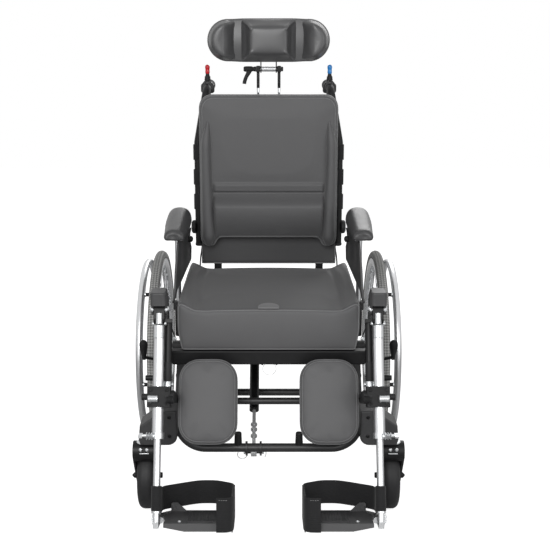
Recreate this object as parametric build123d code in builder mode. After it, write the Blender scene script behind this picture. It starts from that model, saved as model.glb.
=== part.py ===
from build123d import *
import os
from math import asin, cos, hypot, radians, sin

# Tilt-in-space wheelchair, in millimetres.
# The user faces -Y, +X is the user's left hand and +Z is up. The floor is Z = 0.
# Every paired piece is drawn on the user's left side and mirrored to the right.

# ---- Rear wheels ----------------------------------------------------------------------
AXLE_Y = 199.1                    # rear axle, behind the middle of the chair
TYRE_OUTER_R = 270.0
TYRE_WIDTH = 27.0
TYRE_HEIGHT = 22.0                # how far the tyre stands out of the rim
TREAD_GROOVE_WIDTH = 2.0
TREAD_GROOVE_DEPTH = 1.4
TREAD_GROOVE_PITCH = 4.6
WHEEL_X = 302.0                   # middle plane of the tyre
RIM_WIDTH = 23.0
RIM_DEPTH = 19.0
RIM_WALL_HEIGHT = 13.0            # upright side wall of the rim
RIM_INNER_WIDTH = 12.0
SPOKE_ACROSS = 2.4
SPOKE_GROUPS = 9                  # four spokes in each group
SPOKE_LACING_ANGLE = 50.0         # how far a spoke leans round the hub
SPOKE_CIRCLE_R = 18.0
HUB_INNER_END = 27.0              # hub end towards the frame, from the tyre plane
HUB_OUTER_END = 20.0
HUB_BARREL_R = 14.0
HUB_NECK_R = 11.0
HUB_FLANGE_R = 22.0
HUB_FLANGE_THICKNESS = 4.0
AXLE_R = 6.35
AXLE_CAP_R = 9.0
AXLE_CAP_LENGTH = 5.0
BEARING_FIT = 0.05                # radial gap between a shaft and its bore
HANDRIM_R = 238.0                 # centre line of the push rim
HANDRIM_TUBE_R = 9.5
HANDRIM_OFFSET = 35.5             # push rim outboard of the tyre plane
STANDOFF_R = 4.0
STANDOFFS = 6
STANDOFF_START = 8.0              # first standoff, degrees below the front of the rim

# ---- Castors --------------------------------------------------------------------------
WHEELBASE = 453.0
CASTOR_R = 80.0
CASTOR_WIDTH = 40.0
CASTOR_SHOULDER_R = 17.0
CASTOR_X = 295.0
CASTOR_TRAIL = 45.0
CASTOR_HUB_R = 44.0
CASTOR_HUB_RECESS = 7.0
CASTOR_BARREL_R = 17.0
CASTOR_BARREL_END_R = 11.0
CASTOR_AXLE_R = 4.0
CASTOR_AXLE_HEAD_R = 7.0
CASTOR_AXLE_HEAD = 7.0
FORK_LEG = 5.0
FORK_SIDE_GAP = 3.0
FORK_TYRE_GAP = 7.0
FORK_CROWN_R = 24.0
FORK_EYE_R = 14.0
FORK_STEM_R = 8.0
FORK_STEM_LENGTH = 34.0
FORK_HOUSING_GAP = 2.0
HOUSING_DEPTH = 64.0
HOUSING_OUTER_X = 306.0
HOUSING_SHOULDER_X = 303.0
HOUSING_TOP_X = 250.0
HOUSING_INNER_X = 215.0
HOUSING_BOTTOM_Z = 190.0
HOUSING_SHOULDER_Z = 238.0
HOUSING_TOP_Z = 276.0
HOUSING_CORNER_R = 22.0
HOUSING_EDGE_R = 4.0
HOUSING_BOLT_R = 4.5
HOUSING_BOLT_DEPTH = 3.0
HOUSING_BOLT_X = 233.0
HOUSING_BOLT_LOW_Z = 213.0
HOUSING_BOLT_HIGH_Z = 260.0

# ---- Base frame -----------------------------------------------------------------------
FRONT_TUBE_Z = 168.0
FRONT_TUBE_R = 10.5
FRONT_TUBE_BEND_R = 66.0
FRONT_TUBE_STRAIGHT = 150.0       # half length of the straight run
FRONT_TUBE_BEND = 60.0            # degrees that each end turns up
BUMPER_X = 73.0
BUMPER_R = 8.0
BUMPER_HEIGHT = 28.0
SIDE_FRAME_X = 220.0
SIDE_FRAME_THICKNESS = 18.0
SIDE_RAIL_LOW_Z = 188.0
SIDE_RAIL_HEIGHT = 56.0
AXLE_BOSS_R = 30.0
AXLE_SLEEVE_R = 15.0
AXLE_SLEEVE_GAP = 3.0
TILT_PIVOT_FROM_AXLE = 320.0
TILT_PIVOT_Z = 345.0
PIVOT_BOSS_R = 18.0
PIVOT_PIN_R = 6.0
FRONT_CROSS_FROM_AXLE = 400.0
FRONT_CROSS_Z = 253.0
FRONT_CROSS_R = 8.5
REAR_CROSS_FROM_AXLE = 200.0
REAR_CROSS_Z = 203.0
REAR_CROSS_R = 9.5

# ---- Anti-tip arms --------------------------------------------------------------------
ANTI_TIP_PIVOT_BEHIND_AXLE = 40.0
ANTI_TIP_PIVOT_Z = 222.0
ANTI_TIP_WHEEL_BEHIND_AXLE = 300.0
ANTI_TIP_WHEEL_R = 30.0
ANTI_TIP_WHEEL_WIDTH = 22.0
ANTI_TIP_LIFT = 30.0              # wheel kept this far above the floor
ANTI_TIP_BAR = 20.0
ANTI_TIP_BAR_THICKNESS = 8.0
ANTI_TIP_AXLE_R = 4.0
ANTI_TIP_GAP = 1.5

# ---- Brakes ---------------------------------------------------------------------------
BRAKE_FROM_AXLE = 296.0
BRAKE_PIVOT_Z = 322.0
BRAKE_BRACKET_X = 272.0
BRAKE_PLATE = 5.0
BRAKE_PIVOT_R = 5.0
BRAKE_LEVER_X = 309.0
BRAKE_KNOB_R = 10.0
BRAKE_KNOB_HEIGHT = 48.0
BRAKE_ROD_R = 4.0
BRAKE_SHOE_R = 7.0
BRAKE_SHOE_GAP = 12.0             # open brake, from the shoe to the tyre

# ---- Seat -----------------------------------------------------------------------------
SEAT_FRONT_FROM_AXLE = 475.0
CUSHION_LENGTH = 442.0
CUSHION_HALF_WIDTH = 216.0
CUSHION_BOTTOM_Z = 405.0
CUSHION_HEIGHT = 100.0
CUSHION_BOLSTER_RISE = 16.0
CUSHION_BOLSTER_WIDTH = 22.0
CUSHION_SLOPE_WIDTH = 26.0
CUSHION_CROWN = 4.0
CUSHION_EDGE_R = 8.0
CUSHION_DRAW_IN = 8.0             # sides drawn in at the bottom seam
TONGUE_HALF_WIDTH = 25.0
TONGUE_LENGTH = 16.0
TONGUE_THICKNESS = 2.0
PAN_THICKNESS = 5.0
PAN_HALF_WIDTH = 200.0
PAN_TO_CUSHION = 0.5
RAIL_HEIGHT = 34.0
RAIL_DEPTH = 25.0
RAIL_HALF_LENGTH = 228.0
RAIL_SETBACK = 3.0
SEAT_TUBE_X = 187.0
SEAT_TUBE_WIDTH = 20.0
SEAT_TUBE_HEIGHT = 28.0
SEAT_BAR_HEIGHT = 14.0
SEAT_EAR_GAP = 3.0
BACK_HINGE_BEHIND_AXLE = 10.0
BACK_HINGE_Z = 420.0
HINGE_EYE_R = 15.0
HINGE_PIN_R = 5.0
BACK_LEG_X = 141.0
BACK_LEG_WIDTH = 20.0
BACK_LEG_DEPTH = 24.0
BACK_LEG_TOP = 40.0               # leg top above the low cross tube
HINGE_LUG = 6.0
HINGE_LUG_HEEL_DROP = 27.0
HINGE_LUG_HEEL_R = 7.0
HINGE_LUG_ROOT = 17.0
HINGE_SIDE_GAP = 1.0

# ---- Arm rests ------------------------------------------------------------------------
ARM_POST_FROM_AXLE = 235.0
ARM_POST_X = 231.0
ARM_POST_R = 7.0
ARM_POST_BOTTOM_Z = 376.0
ARM_SOCKET_R = 10.5
ARM_SOCKET_TOP_Z = 462.0
ARM_SOCKET_BOTTOM_Z = 372.0
ARM_COLLAR_R = 13.5
ARM_COLLAR_HEIGHT = 20.0
ARM_PAD_FRONT_FROM_AXLE = 352.0
ARM_PAD_LENGTH = 280.0
ARM_PAD_FRONT_X = 223.0
ARM_PAD_REAR_X = 239.0
ARM_PAD_HALF_WIDTH = 32.0
ARM_PAD_BOTTOM_Z = 644.0
ARM_PAD_HEIGHT = 34.0
ARM_PAD_END_R = 18.0
ARM_PLATE_THICKNESS = 5.0
PANEL_THICKNESS = 5.0
PANEL_X = 220.5
PANEL_TOE_IN = 2.2

# ---- Back rest ------------------------------------------------------------------------
BACK_TUBE_X = 192.0
BACK_TUBE_R = 10.5
BACK_TUBE_BEHIND_AXLE = 12.0
BACK_TUBE_BOTTOM_Z = 562.0
BACK_BEND_Z = 845.0
GRIP_X = 166.0
GRIP_Z = 990.0
HANDLE_BEND_R = 34.0
HANDLE_REACH = 150.0
GRIP_LENGTH = 95.0
GRIP_R = 16.0
GRIP_END_WALL = 4.0
LOW_CROSS_Z = 600.0
HIGH_CROSS_Z = 905.0
BACK_CROSS_R = 9.0
RECLINE_ARM = 45.0
SPRING_CROSS_R = 8.0
STRAP_THICKNESS = 2.5
STRAP_HEIGHT = 42.0
STRAP_PITCH = 68.0
STRAP_FIRST_Z = 682.0
STRAPS = 3
STRAP_CLEARANCE = 0.4
BACKREST_HALF_WIDTH = 186.0
SLING_THICKNESS = 5.0
SLING_GAP = 1.0
SLING_BOTTOM_Z = 512.0
BACKREST_BOTTOM_Z = 566.0
BACKREST_TOP_Z = 976.0
BACKREST_THICKNESS = 42.0
BACKREST_CORNER_R = 34.0
BACKREST_EDGE_R = 9.0
BACKREST_SIDE_WIDTH = 36.0
BACKREST_SIDE_RISE = 26.0
BACKREST_SIDE_TOP_Z = 915.0
LUMBAR_TOP_Z = 717.0
LUMBAR_BOTTOM_Z = 592.0
LUMBAR_RISE = 26.0
CABLE_R = 2.0
FERRULE_R = 4.0
FERRULE_LENGTH = 5.0
FERRULE_Z = 445.0
SIDE_KNOB_Z = 622.0
SIDE_KNOB_R = 7.0
SIDE_KNOB_LENGTH = 10.0
STRAP_TAIL_X = 40.0
STRAP_TAIL_LENGTH = 90.0
LUMBAR_HALF_WIDTH = 152.0
BACKREST_SIDE_BOTTOM_Z = 543.0

# ---- Release levers -------------------------------------------------------------------
LEVER_FROM_GRIP = 6.0
LEVER_CLAMP_LENGTH = 16.0
LEVER_CLAMP_R = 17.0
LEVER_PIVOT_UP = 24.0
LEVER_NECK_TOP = 36.0
LEVER_TIP_R = 6.5
LEVER_TIP_LENGTH = 21.0
LEVER_THICKNESS = 8.0
LEVER_PIN_R = 2.5
LEVER_EYE_R = 5.0
LEVER_CHEEK = 3.0
LEVER_SIDE_GAP = 0.5

# ---- Head rest ------------------------------------------------------------------------
HEAD_Z = 1115.5
HEAD_HALF_WIDTH = 161.0
HEAD_HEIGHT = 109.0
HEAD_SHELL = 14.0
HEAD_BEHIND_AXLE = -14.0          # back face of the shell
HEAD_CENTRE_HALF = 66.0
HEAD_CENTRE_TAPER = 30.0          # slope of the centre pad's sides, in degrees
HEAD_CENTRE_RISE = 42.0
HEAD_WING_START = 84.0
HEAD_WING_RISE = 34.0
HEAD_WING_CREST = 118.0           # inner edge of the wing's raised face
HEAD_WING_SET_IN = 4.0
STEM_X = 28.0
STEM_R = 3.5
STEM_BOTTOM_Z = 780.0
STEM_BEHIND_AXLE = 12.0
HEAD_BAR_Z = 1040.0
HEAD_BAR_R = 6.0
HEAD_BLOCK = 8.0
HEAD_BLOCK_HALF = 5.2             # half width of the end blocks of the bar
HEAD_STRAP_X = 20.5
HEAD_PLATE_HEIGHT = 60.0
HEAD_STRAP_THICKNESS = 3.0
HEAD_STRAP_WIDTH = 18.0
STEM_CLAMP_WIDTH = 84.0
STEM_CLAMP_HEIGHT = 34.0
STEM_CLAMP_DEPTH = 26.0
HEAD_OUTLINE_R = 8.0
HEAD_EDGE_R = 6.0
HEAD_LEVER_REACH = 48.0
HEAD_LEVER_R = 5.5
HEAD_LEVER_BODY = 30.0
HEAD_LEVER_GAP = 0.6
HEAD_LEVER_X = 32.0               # lever pin, outwards from the stem
HEAD_PIN_R = 3.0

# ---- Leg rests ------------------------------------------------------------------------
LEG_X = 248.0
LEG_LEAN = 23.0                   # degrees forward of the vertical
KNEE_FROM_AXLE = 532.0
KNEE_Z = 524.0
KNEE_PIN_R = 5.0
KNEE_CLEVIS_R = 12.5
KNEE_CLEVIS_WIDTH = 24.0
KNEE_CHEEK = 5.0
KNEE_CAP_HEIGHT = 30.0
KNEE_CAP_LENGTH = 52.0
KNEE_CAP_R = 9.0
KNEE_CAP_EDGE_R = 4.0
KNEE_CAP_UP = 16.0                # underside of the cap above the knee pin
KNEE_CAP_FORWARD = 8.0
KNEE_PIN_END = 3.0
HANGER_COLLAR = 12.0
HANGER_POST_X = 243.0
HANGER_POST_FROM_AXLE = 456.0
HANGER_POST_R = 9.0
HANGER_PIN_R = 6.0
HANGER_SOCKET_R = 11.0
HANGER_BEND_R = 34.0
LEG_TUBE_R = 12.5
LEG_TUBE_WALL = 2.0
LEG_TUBE_START = 34.0
LEG_TUBE_END = 285.0
LOWER_TUBE_R = 8.0
LOWER_TUBE_TOP = 150.0
LOWER_TUBE_END = 478.0
STRUT_R = 8.5
STRUT_X = 228.5
STRUT_BEHIND = 14.0
STRUT_START = 24.0
STRUT_END = 175.5
TUBE_END_GAP = 0.3
SLIDE_ROOM = 84.0                 # bore above the lower tube, for its upward travel
COLLAR_R = 14.5
COLLAR_LENGTH = 14.0
WING_SCREW_R = 3.5
WING_SCREW_REACH = 30.0
WING_SPAN = 22.0
WING_THICKNESS = 4.0
WING_WIDTH = 9.0
CLAMP_AT = 199.0
CLAMP_HEIGHT = 46.0
CLAMP_DEPTH = 34.0
CLAMP_OUTER_X = 272.0
CLAMP_INNER_X = 219.0
CLAMP_KNOB_R = 7.5
CLAMP_KNOB_LENGTH = 22.0
CALF_PAD_WIDTH = 135.0
CALF_PAD_HEIGHT = 195.0
CALF_PAD_CORNER_R = 46.0
CALF_PAD_INNER_X = 73.0
CALF_PAD_THICKNESS = 26.0
CALF_PAD_FACE_BEHIND = 62.0
CALF_PAD_CROWN = 8.0
CALF_SHELL = 5.0
CALF_PIN_R = 4.0
CALF_MOUNT = 16.0
CALF_ARM_GAP = 4.0
CALF_PIN_LENGTH = 60.0
CLAMP_BOLT_R = 4.0

# ---- Foot plates ----------------------------------------------------------------------
FOOT_TILT = 12.0                  # front edge up
FOOT_HINGE_FROM_AXLE = 672.0
FOOT_HINGE_X = 241.0
FOOT_HINGE_Z = 74.0
FOOT_HINGE_R = 7.0
FOOT_PIN_R = 3.0
FOOT_PIN_HEAD_R = 5.5
FOOT_PIN_HEAD = 3.0
FOOT_KNUCKLE = 14.0
FOOT_KNUCKLE_GAP = 0.5
FOOT_PLATE_INNER = 159.0
FOOT_PLATE_FRONT = 52.0
FOOT_PLATE_REAR = 64.0
FOOT_PLATE_WIDENING = 10.0         # behind the hinge, round the hole
FOOT_PLATE_CHAMFER = 18.0          # clears the swivelling castor
FOOT_PLATE_THICKNESS = 6.0
FOOT_LIP = 18.0
FOOT_LIP_THICKNESS = 5.0
FOOT_LIP_SLANT_LENGTH = 46.0
FOOT_LIP_SLANT = 9.0
FOOT_HOLE_R = 5.5
FOOT_HOLE_X = -8.0
FOOT_HOLE_BACK = 41.0
FOOT_EAR_HEIGHT = 20.0
FOOT_EAR_THICKNESS = 4.0
FOOT_EAR_SETBACK = 6.0
FOOT_EAR_BASE = 36.0
FOOT_EAR_TOP = 15.0
FOOT_EAR_SCREW_R = 4.0
FOOT_BAR_WIDTH = 12.0
FOOT_BAR_FRONT = 56.0
HEEL_STRAP_HEIGHT = 55.0
HEEL_STRAP_THICKNESS = 2.5
HEEL_STRAP_LIFT = 8.0
HEEL_STRAP_SIDE = 2.8
HEEL_STRAP_NEAR = 12.0
HEEL_STRAP_TURN = 47.5             # from here it slants inwards, clear of the castor
HEEL_STRAP_SLANT_X = -52.0
HEEL_STRAP_SLANT_BACK = 90.0
HEEL_STRAP_REAR = 108.0
HEEL_STRAP_REAR_OUTER = -80.0
HEEL_STRAP_REAR_INNER = -118.0
HEEL_STRAP_BEND_R = 16.0
HEEL_STRAP_FOLD = 40.0
HEEL_SLEEVE_R = 10.6
HEEL_SLEEVE_TOP = 400.0
HEEL_SLEEVE_LENGTH = 54.0

# ---- Gas springs ----------------------------------------------------------------------
SPRING_X = -36.0
SPRING_TABS_APART = 34.0
SPRING_TAB = 5.0
SPRING_PIN_R = 4.0
SPRING_EYE_R = 11.0
SPRING_EYE_WIDTH = 14.0
SPRING_EYE_PLAY = 1.6             # the open end of the linkage keeps this play
TILT_SPRING_FOOT_FROM_AXLE = 467.0
TILT_SPRING_FOOT_Z = 147.0
TILT_SPRING_TOP_FROM_AXLE = 230.0
TILT_SPRING_TOP_Z = 332.0
SPRING_ROD_R = 4.2
SPRING_CYLINDER_R = 11.8
TILT_ROD_OUT = 117.0
SPRING_BORE_FIT = 0.1
RECLINE_SPRING_X = 36.0
RECLINE_SPRING_BASE_FROM_AXLE = 240.0
RECLINE_SPRING_BASE_Z = 346.0
RECLINE_ROD_OUT = 85.0
TILT_ROD_LENGTH = 165.0
TILT_BORE = 88.0
RECLINE_ROD_LENGTH = 150.0
RECLINE_BORE = 105.0
SPRING_NECK = 15.0
SPRING_NUT_HEIGHT = 5.0
SPRING_NUT_R = 8.0
SPRING_NUTS = (44.0, 62.0, 76.0)  # flanges on the tilt rod, from its foot

# ---- Places worked out from the sizes above --------------------------------------------
AXLE_Z = TYRE_OUTER_R
RIM_OUTER_R = TYRE_OUTER_R - TYRE_HEIGHT
CASTOR_Y = AXLE_Y - WHEELBASE
STEM_Y = CASTOR_Y - CASTOR_TRAIL
FORK_TOP_Z = HOUSING_BOTTOM_Z - FORK_HOUSING_GAP
FORK_HALF_WIDTH = CASTOR_WIDTH / 2 + FORK_SIDE_GAP + FORK_LEG
FRAME_INNER_X = SIDE_FRAME_X - SIDE_FRAME_THICKNESS / 2
FRAME_OUTER_X = SIDE_FRAME_X + SIDE_FRAME_THICKNESS / 2
TILT_Y = AXLE_Y - TILT_PIVOT_FROM_AXLE
FRONT_TUBE_Y = STEM_Y + 8
SEAT_FRONT_Y = AXLE_Y - SEAT_FRONT_FROM_AXLE
SEAT_REAR_Y = SEAT_FRONT_Y + CUSHION_LENGTH
CUSHION_TOP_Z = CUSHION_BOTTOM_Z + CUSHION_HEIGHT
PAN_TOP_Z = CUSHION_BOTTOM_Z - PAN_TO_CUSHION
PAN_BOTTOM_Z = PAN_TOP_Z - PAN_THICKNESS
HINGE_Y = AXLE_Y + BACK_HINGE_BEHIND_AXLE
BACK_TUBE_Y = AXLE_Y + BACK_TUBE_BEHIND_AXLE
SLING_REAR_Y = BACK_TUBE_Y - BACK_TUBE_R - STRAP_THICKNESS - STRAP_CLEARANCE - SLING_GAP
BACKREST_REAR_Y = SLING_REAR_Y - SLING_THICKNESS
BACKREST_FACE_Y = BACKREST_REAR_Y - BACKREST_THICKNESS
ARM_POST_Y = AXLE_Y - ARM_POST_FROM_AXLE
KNEE_Y = AXLE_Y - KNEE_FROM_AXLE
HANGER_Y = AXLE_Y - HANGER_POST_FROM_AXLE
HEAD_BACK_Y = AXLE_Y + HEAD_BEHIND_AXLE
HEAD_STEM_Y = AXLE_Y + STEM_BEHIND_AXLE
WHEEL_AXIS = Axis((0, AXLE_Y, AXLE_Z), (1, 0, 0))
CASTOR_AXIS = Axis((0, CASTOR_Y, CASTOR_R), (1, 0, 0))

os.makedirs("parts", exist_ok=True)


def save(piece, name):
    """Label one finished piece and write it."""
    piece.part.label = name
    export_step(piece.part, f"parts/{name}.step")


def save_pair(piece, name):
    """Write a piece of the left side, and its mirror image for the right side."""
    save(piece, f"{name}_left")
    with BuildPart() as twin:
        mirror(piece.part, about=Plane.YZ)
    save(twin, f"{name}_right")


def across(x, y, z):
    """Plane square to X through a point, with forward as its x direction."""
    return Plane(origin=(x, y, z), x_dir=(0, -1, 0), z_dir=(1, 0, 0))


def leg_plane(along, behind=0.0, x=LEG_X):
    """Plane square to the leg, so far down from the knee and behind the leg line."""
    lean = radians(LEG_LEAN)
    y = KNEE_Y - along * sin(lean) + behind * cos(lean)
    z = KNEE_Z - along * cos(lean) - behind * sin(lean)
    return Plane(origin=(x, y, z), x_dir=(1, 0, 0), z_dir=(0, -sin(lean), -cos(lean)))


def foot_plane(side=0.0, back=0.0, up=0.0):
    """Plane of the foot plate: x outwards, y backwards and z up from the hinge pin."""
    tilt = radians(FOOT_TILT)
    hinge = Plane(
        origin=(FOOT_HINGE_X, AXLE_Y - FOOT_HINGE_FROM_AXLE, FOOT_HINGE_Z),
        x_dir=(1, 0, 0),
        z_dir=(0, sin(tilt), cos(tilt)),
    )
    return Plane(
        origin=hinge.from_local_coords((side, back, up)), x_dir=hinge.x_dir, z_dir=hinge.z_dir
    )


def section_plane(x, axis_y, axis_z):
    """Plane through a wheel axis, with x outwards and y up, for revolved profiles."""
    return Plane(origin=(x, axis_y, axis_z), x_dir=(1, 0, 0), z_dir=(0, -1, 0))


# ---- Rear wheel -----------------------------------------------------------------------
def rear_tyre():
    """Pneumatic tyre with a round section and grooves round the tread."""
    with BuildPart() as tyre:
        with BuildSketch(section_plane(WHEEL_X, AXLE_Y, AXLE_Z)):
            with Locations((0, TYRE_OUTER_R - TYRE_WIDTH / 2)):
                Circle(TYRE_WIDTH / 2)
            with Locations((0, RIM_OUTER_R)):
                Rectangle(TYRE_WIDTH, TYRE_WIDTH, align=(Align.CENTER, Align.MAX), mode=Mode.SUBTRACT)
            with Locations((0, TYRE_OUTER_R)):
                with GridLocations(TREAD_GROOVE_PITCH, 1, 3, 1):
                    Rectangle(TREAD_GROOVE_WIDTH, 2 * TREAD_GROOVE_DEPTH, mode=Mode.SUBTRACT)
        revolve(axis=WHEEL_AXIS)
    return tyre


def spoke_group():
    """Four laced spokes, two on each hub flange, round the Z axis of the wheel."""
    pitch = 360 / (4 * SPOKE_GROUPS)
    inner_flange = -HUB_INNER_END + 5 + HUB_FLANGE_THICKNESS / 2
    outer_flange = HUB_OUTER_END - 2 - HUB_FLANGE_THICKNESS / 2
    head = HUB_FLANGE_THICKNESS / 2 - SPOKE_ACROSS / 4
    lacing = [
        (inner_flange + head, 1),
        (outer_flange + head, 1),
        (inner_flange - head, -1),
        (outer_flange - head, -1),
    ]
    rim_seat_r = RIM_OUTER_R - RIM_DEPTH + 3
    with BuildPart() as spokes:
        for number, (height, lean) in enumerate(lacing):
            rim_angle = number * pitch
            hub_angle = rim_angle + lean * SPOKE_LACING_ANGLE
            start = Vector(SPOKE_CIRCLE_R, 0, height).rotate(Axis.Z, hub_angle)
            end = Vector(rim_seat_r, 0, 0).rotate(Axis.Z, rim_angle)
            with BuildSketch(Plane(origin=start, z_dir=end - start)):
                RegularPolygon(SPOKE_ACROSS / 2, 6)
            extrude(amount=(end - start).length)
    return spokes


def rear_wheel(spokes):
    """Aluminium rim, laced spokes and flanged hub, as the built-up wheel."""
    half_rim = RIM_WIDTH / 2
    inner_r = RIM_OUTER_R - RIM_DEPTH
    bore = AXLE_R + BEARING_FIT
    flange_in = -HUB_INNER_END + 5
    flange_out = HUB_OUTER_END - 2
    with BuildPart() as wheel:
        with BuildSketch(section_plane(WHEEL_X, AXLE_Y, AXLE_Z)):
            with BuildLine():
                Polyline(
                    (-half_rim, RIM_OUTER_R),
                    (half_rim, RIM_OUTER_R),
                    (half_rim, RIM_OUTER_R - RIM_WALL_HEIGHT),
                    (RIM_INNER_WIDTH / 2, inner_r),
                    (-RIM_INNER_WIDTH / 2, inner_r),
                    (-half_rim, RIM_OUTER_R - RIM_WALL_HEIGHT),
                    close=True,
                )
            make_face()
            with BuildLine():
                Polyline(
                    (-HUB_INNER_END, bore),
                    (-HUB_INNER_END, HUB_NECK_R),
                    (flange_in, HUB_NECK_R),
                    (flange_in, HUB_FLANGE_R),
                    (flange_in + HUB_FLANGE_THICKNESS, HUB_FLANGE_R),
                    (flange_in + HUB_FLANGE_THICKNESS, HUB_BARREL_R),
                    (flange_out - HUB_FLANGE_THICKNESS, HUB_BARREL_R),
                    (flange_out - HUB_FLANGE_THICKNESS, HUB_FLANGE_R),
                    (flange_out, HUB_FLANGE_R),
                    (flange_out, HUB_NECK_R),
                    (HUB_OUTER_END, HUB_NECK_R),
                    (HUB_OUTER_END, bore),
                    close=True,
                )
            make_face()
        revolve(axis=WHEEL_AXIS)
        with Locations(across(WHEEL_X, AXLE_Y, AXLE_Z)):
            with PolarLocations(0, SPOKE_GROUPS):
                add(spokes.part)
    return wheel


def handrim():
    """Push rim tube with its standoffs, which seat on the rim's side wall."""
    wall_x = WHEEL_X + RIM_WIDTH / 2
    with BuildPart() as rim:
        with BuildSketch(section_plane(WHEEL_X, AXLE_Y, AXLE_Z)):
            with Locations((HANDRIM_OFFSET, HANDRIM_R)):
                Circle(HANDRIM_TUBE_R)
        revolve(axis=WHEEL_AXIS)
        with Locations(across(wall_x, AXLE_Y, AXLE_Z)):
            with PolarLocations(HANDRIM_R, STANDOFFS, start_angle=STANDOFF_START):
                Cylinder(
                    STANDOFF_R,
                    HANDRIM_OFFSET - RIM_WIDTH / 2,
                    align=(Align.CENTER, Align.CENTER, Align.MIN),
                )
    return rim


save_pair(rear_tyre(), "rear_tyre")
save_pair(rear_wheel(spoke_group()), "rear_wheel")
save_pair(handrim(), "handrim")


# ---- Castor ---------------------------------------------------------------------------
def castor_wheel():
    """Solid castor tyre on its dished hub."""
    half = CASTOR_WIDTH / 2
    bore = CASTOR_AXLE_R + BEARING_FIT
    with BuildPart() as wheel:
        with BuildSketch(section_plane(CASTOR_X, CASTOR_Y, CASTOR_R)) as profile:
            with BuildLine():
                Polyline(
                    (-half, bore),
                    (-half, CASTOR_BARREL_END_R),
                    (-half + CASTOR_HUB_RECESS, CASTOR_BARREL_R),
                    (-half + CASTOR_HUB_RECESS, CASTOR_HUB_R),
                    (-half, CASTOR_HUB_R + 6),
                    (-half, CASTOR_R),
                    (half, CASTOR_R),
                    (half, CASTOR_HUB_R + 6),
                    (half - CASTOR_HUB_RECESS, CASTOR_HUB_R),
                    (half - CASTOR_HUB_RECESS, CASTOR_BARREL_R),
                    (half, CASTOR_BARREL_END_R),
                    (half, bore),
                    close=True,
                )
            make_face()
            fillet(profile.vertices().group_by(Axis.Y)[-1], CASTOR_SHOULDER_R)
        revolve(axis=CASTOR_AXIS)
    return wheel


def castor_fork():
    """Raked fork with its stem, and the axle bolt through its legs."""
    side = Plane.YZ.offset(CASTOR_X)
    width = 2 * FORK_HALF_WIDTH
    with BuildPart() as fork:
        with BuildSketch(side):
            with Locations((STEM_Y, FORK_TOP_Z - FORK_CROWN_R)):
                Circle(FORK_CROWN_R)
            with Locations((CASTOR_Y, CASTOR_R)):
                Circle(FORK_EYE_R)
            make_hull()
        extrude(amount=width / 2, both=True)
        with BuildSketch(side):
            with Locations((CASTOR_Y, CASTOR_R)):
                Circle(CASTOR_R + FORK_TYRE_GAP)
        extrude(amount=CASTOR_WIDTH / 2 + FORK_SIDE_GAP, both=True, mode=Mode.SUBTRACT)
        with Locations((CASTOR_X, STEM_Y, FORK_TOP_Z - 1)):
            Cylinder(FORK_STEM_R, FORK_STEM_LENGTH + 1, align=(Align.CENTER, Align.CENTER, Align.MIN))
        bolt_length = width + 2 * CASTOR_AXLE_HEAD
        with Locations(across(CASTOR_X, CASTOR_Y, CASTOR_R)):
            Cylinder(CASTOR_AXLE_R, bolt_length)
        for end in (-1, 1):
            head_x = CASTOR_X + end * (width + CASTOR_AXLE_HEAD) / 2
            with Locations(across(head_x, CASTOR_Y, CASTOR_R)):
                Cylinder(CASTOR_AXLE_HEAD_R, CASTOR_AXLE_HEAD)
        fillet(fork.faces().sort_by(Axis.X)[0].edges(), 1.5)
        fillet(fork.faces().sort_by(Axis.X)[-1].edges(), 1.5)
    return fork


def castor_housing():
    """Cast housing that holds the castor stem and joins the side frame."""
    with BuildPart() as housing:
        with BuildSketch(Plane.XZ.offset(-STEM_Y)) as front:
            with BuildLine():
                Polyline(
                    (HOUSING_INNER_X, HOUSING_BOTTOM_Z),
                    (HOUSING_OUTER_X - 4, HOUSING_BOTTOM_Z),
                    (HOUSING_OUTER_X, HOUSING_BOTTOM_Z + 12),
                    (HOUSING_SHOULDER_X, HOUSING_SHOULDER_Z),
                    (HOUSING_TOP_X, HOUSING_TOP_Z),
                    (HOUSING_INNER_X, HOUSING_TOP_Z),
                    close=True,
                )
            make_face()
            corner = front.vertices().sort_by_distance((HOUSING_INNER_X, HOUSING_BOTTOM_Z, 0))[0]
            fillet(corner, HOUSING_CORNER_R)
        extrude(amount=HOUSING_DEPTH / 2, both=True)
        fillet(housing.faces().sort_by(Axis.Y)[0].edges(), HOUSING_EDGE_R)
        with Locations((CASTOR_X, STEM_Y, HOUSING_BOTTOM_Z)):
            Cylinder(
                FORK_STEM_R + BEARING_FIT,
                FORK_STEM_LENGTH,
                align=(Align.CENTER, Align.CENTER, Align.MIN),
                mode=Mode.SUBTRACT,
            )
        front_y = STEM_Y - HOUSING_DEPTH / 2
        for bolt_z in (HOUSING_BOLT_LOW_Z, HOUSING_BOLT_HIGH_Z):
            with Locations(Plane(origin=(HOUSING_BOLT_X, front_y, bolt_z), z_dir=(0, -1, 0))):
                Hole(HOUSING_BOLT_R, HOUSING_BOLT_DEPTH)
    return housing


save_pair(castor_wheel(), "castor_wheel")
save_pair(castor_fork(), "castor_fork")

# ---- Base frame -----------------------------------------------------------------------
bend = radians(FRONT_TUBE_BEND)
bend_end_x = FRONT_TUBE_STRAIGHT + FRONT_TUBE_BEND_R * sin(bend)
bend_end_z = FRONT_TUBE_Z + FRONT_TUBE_BEND_R * (1 - cos(bend))
tube_leg = (HOUSING_INNER_X + 4 - bend_end_x) / cos(bend)

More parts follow.
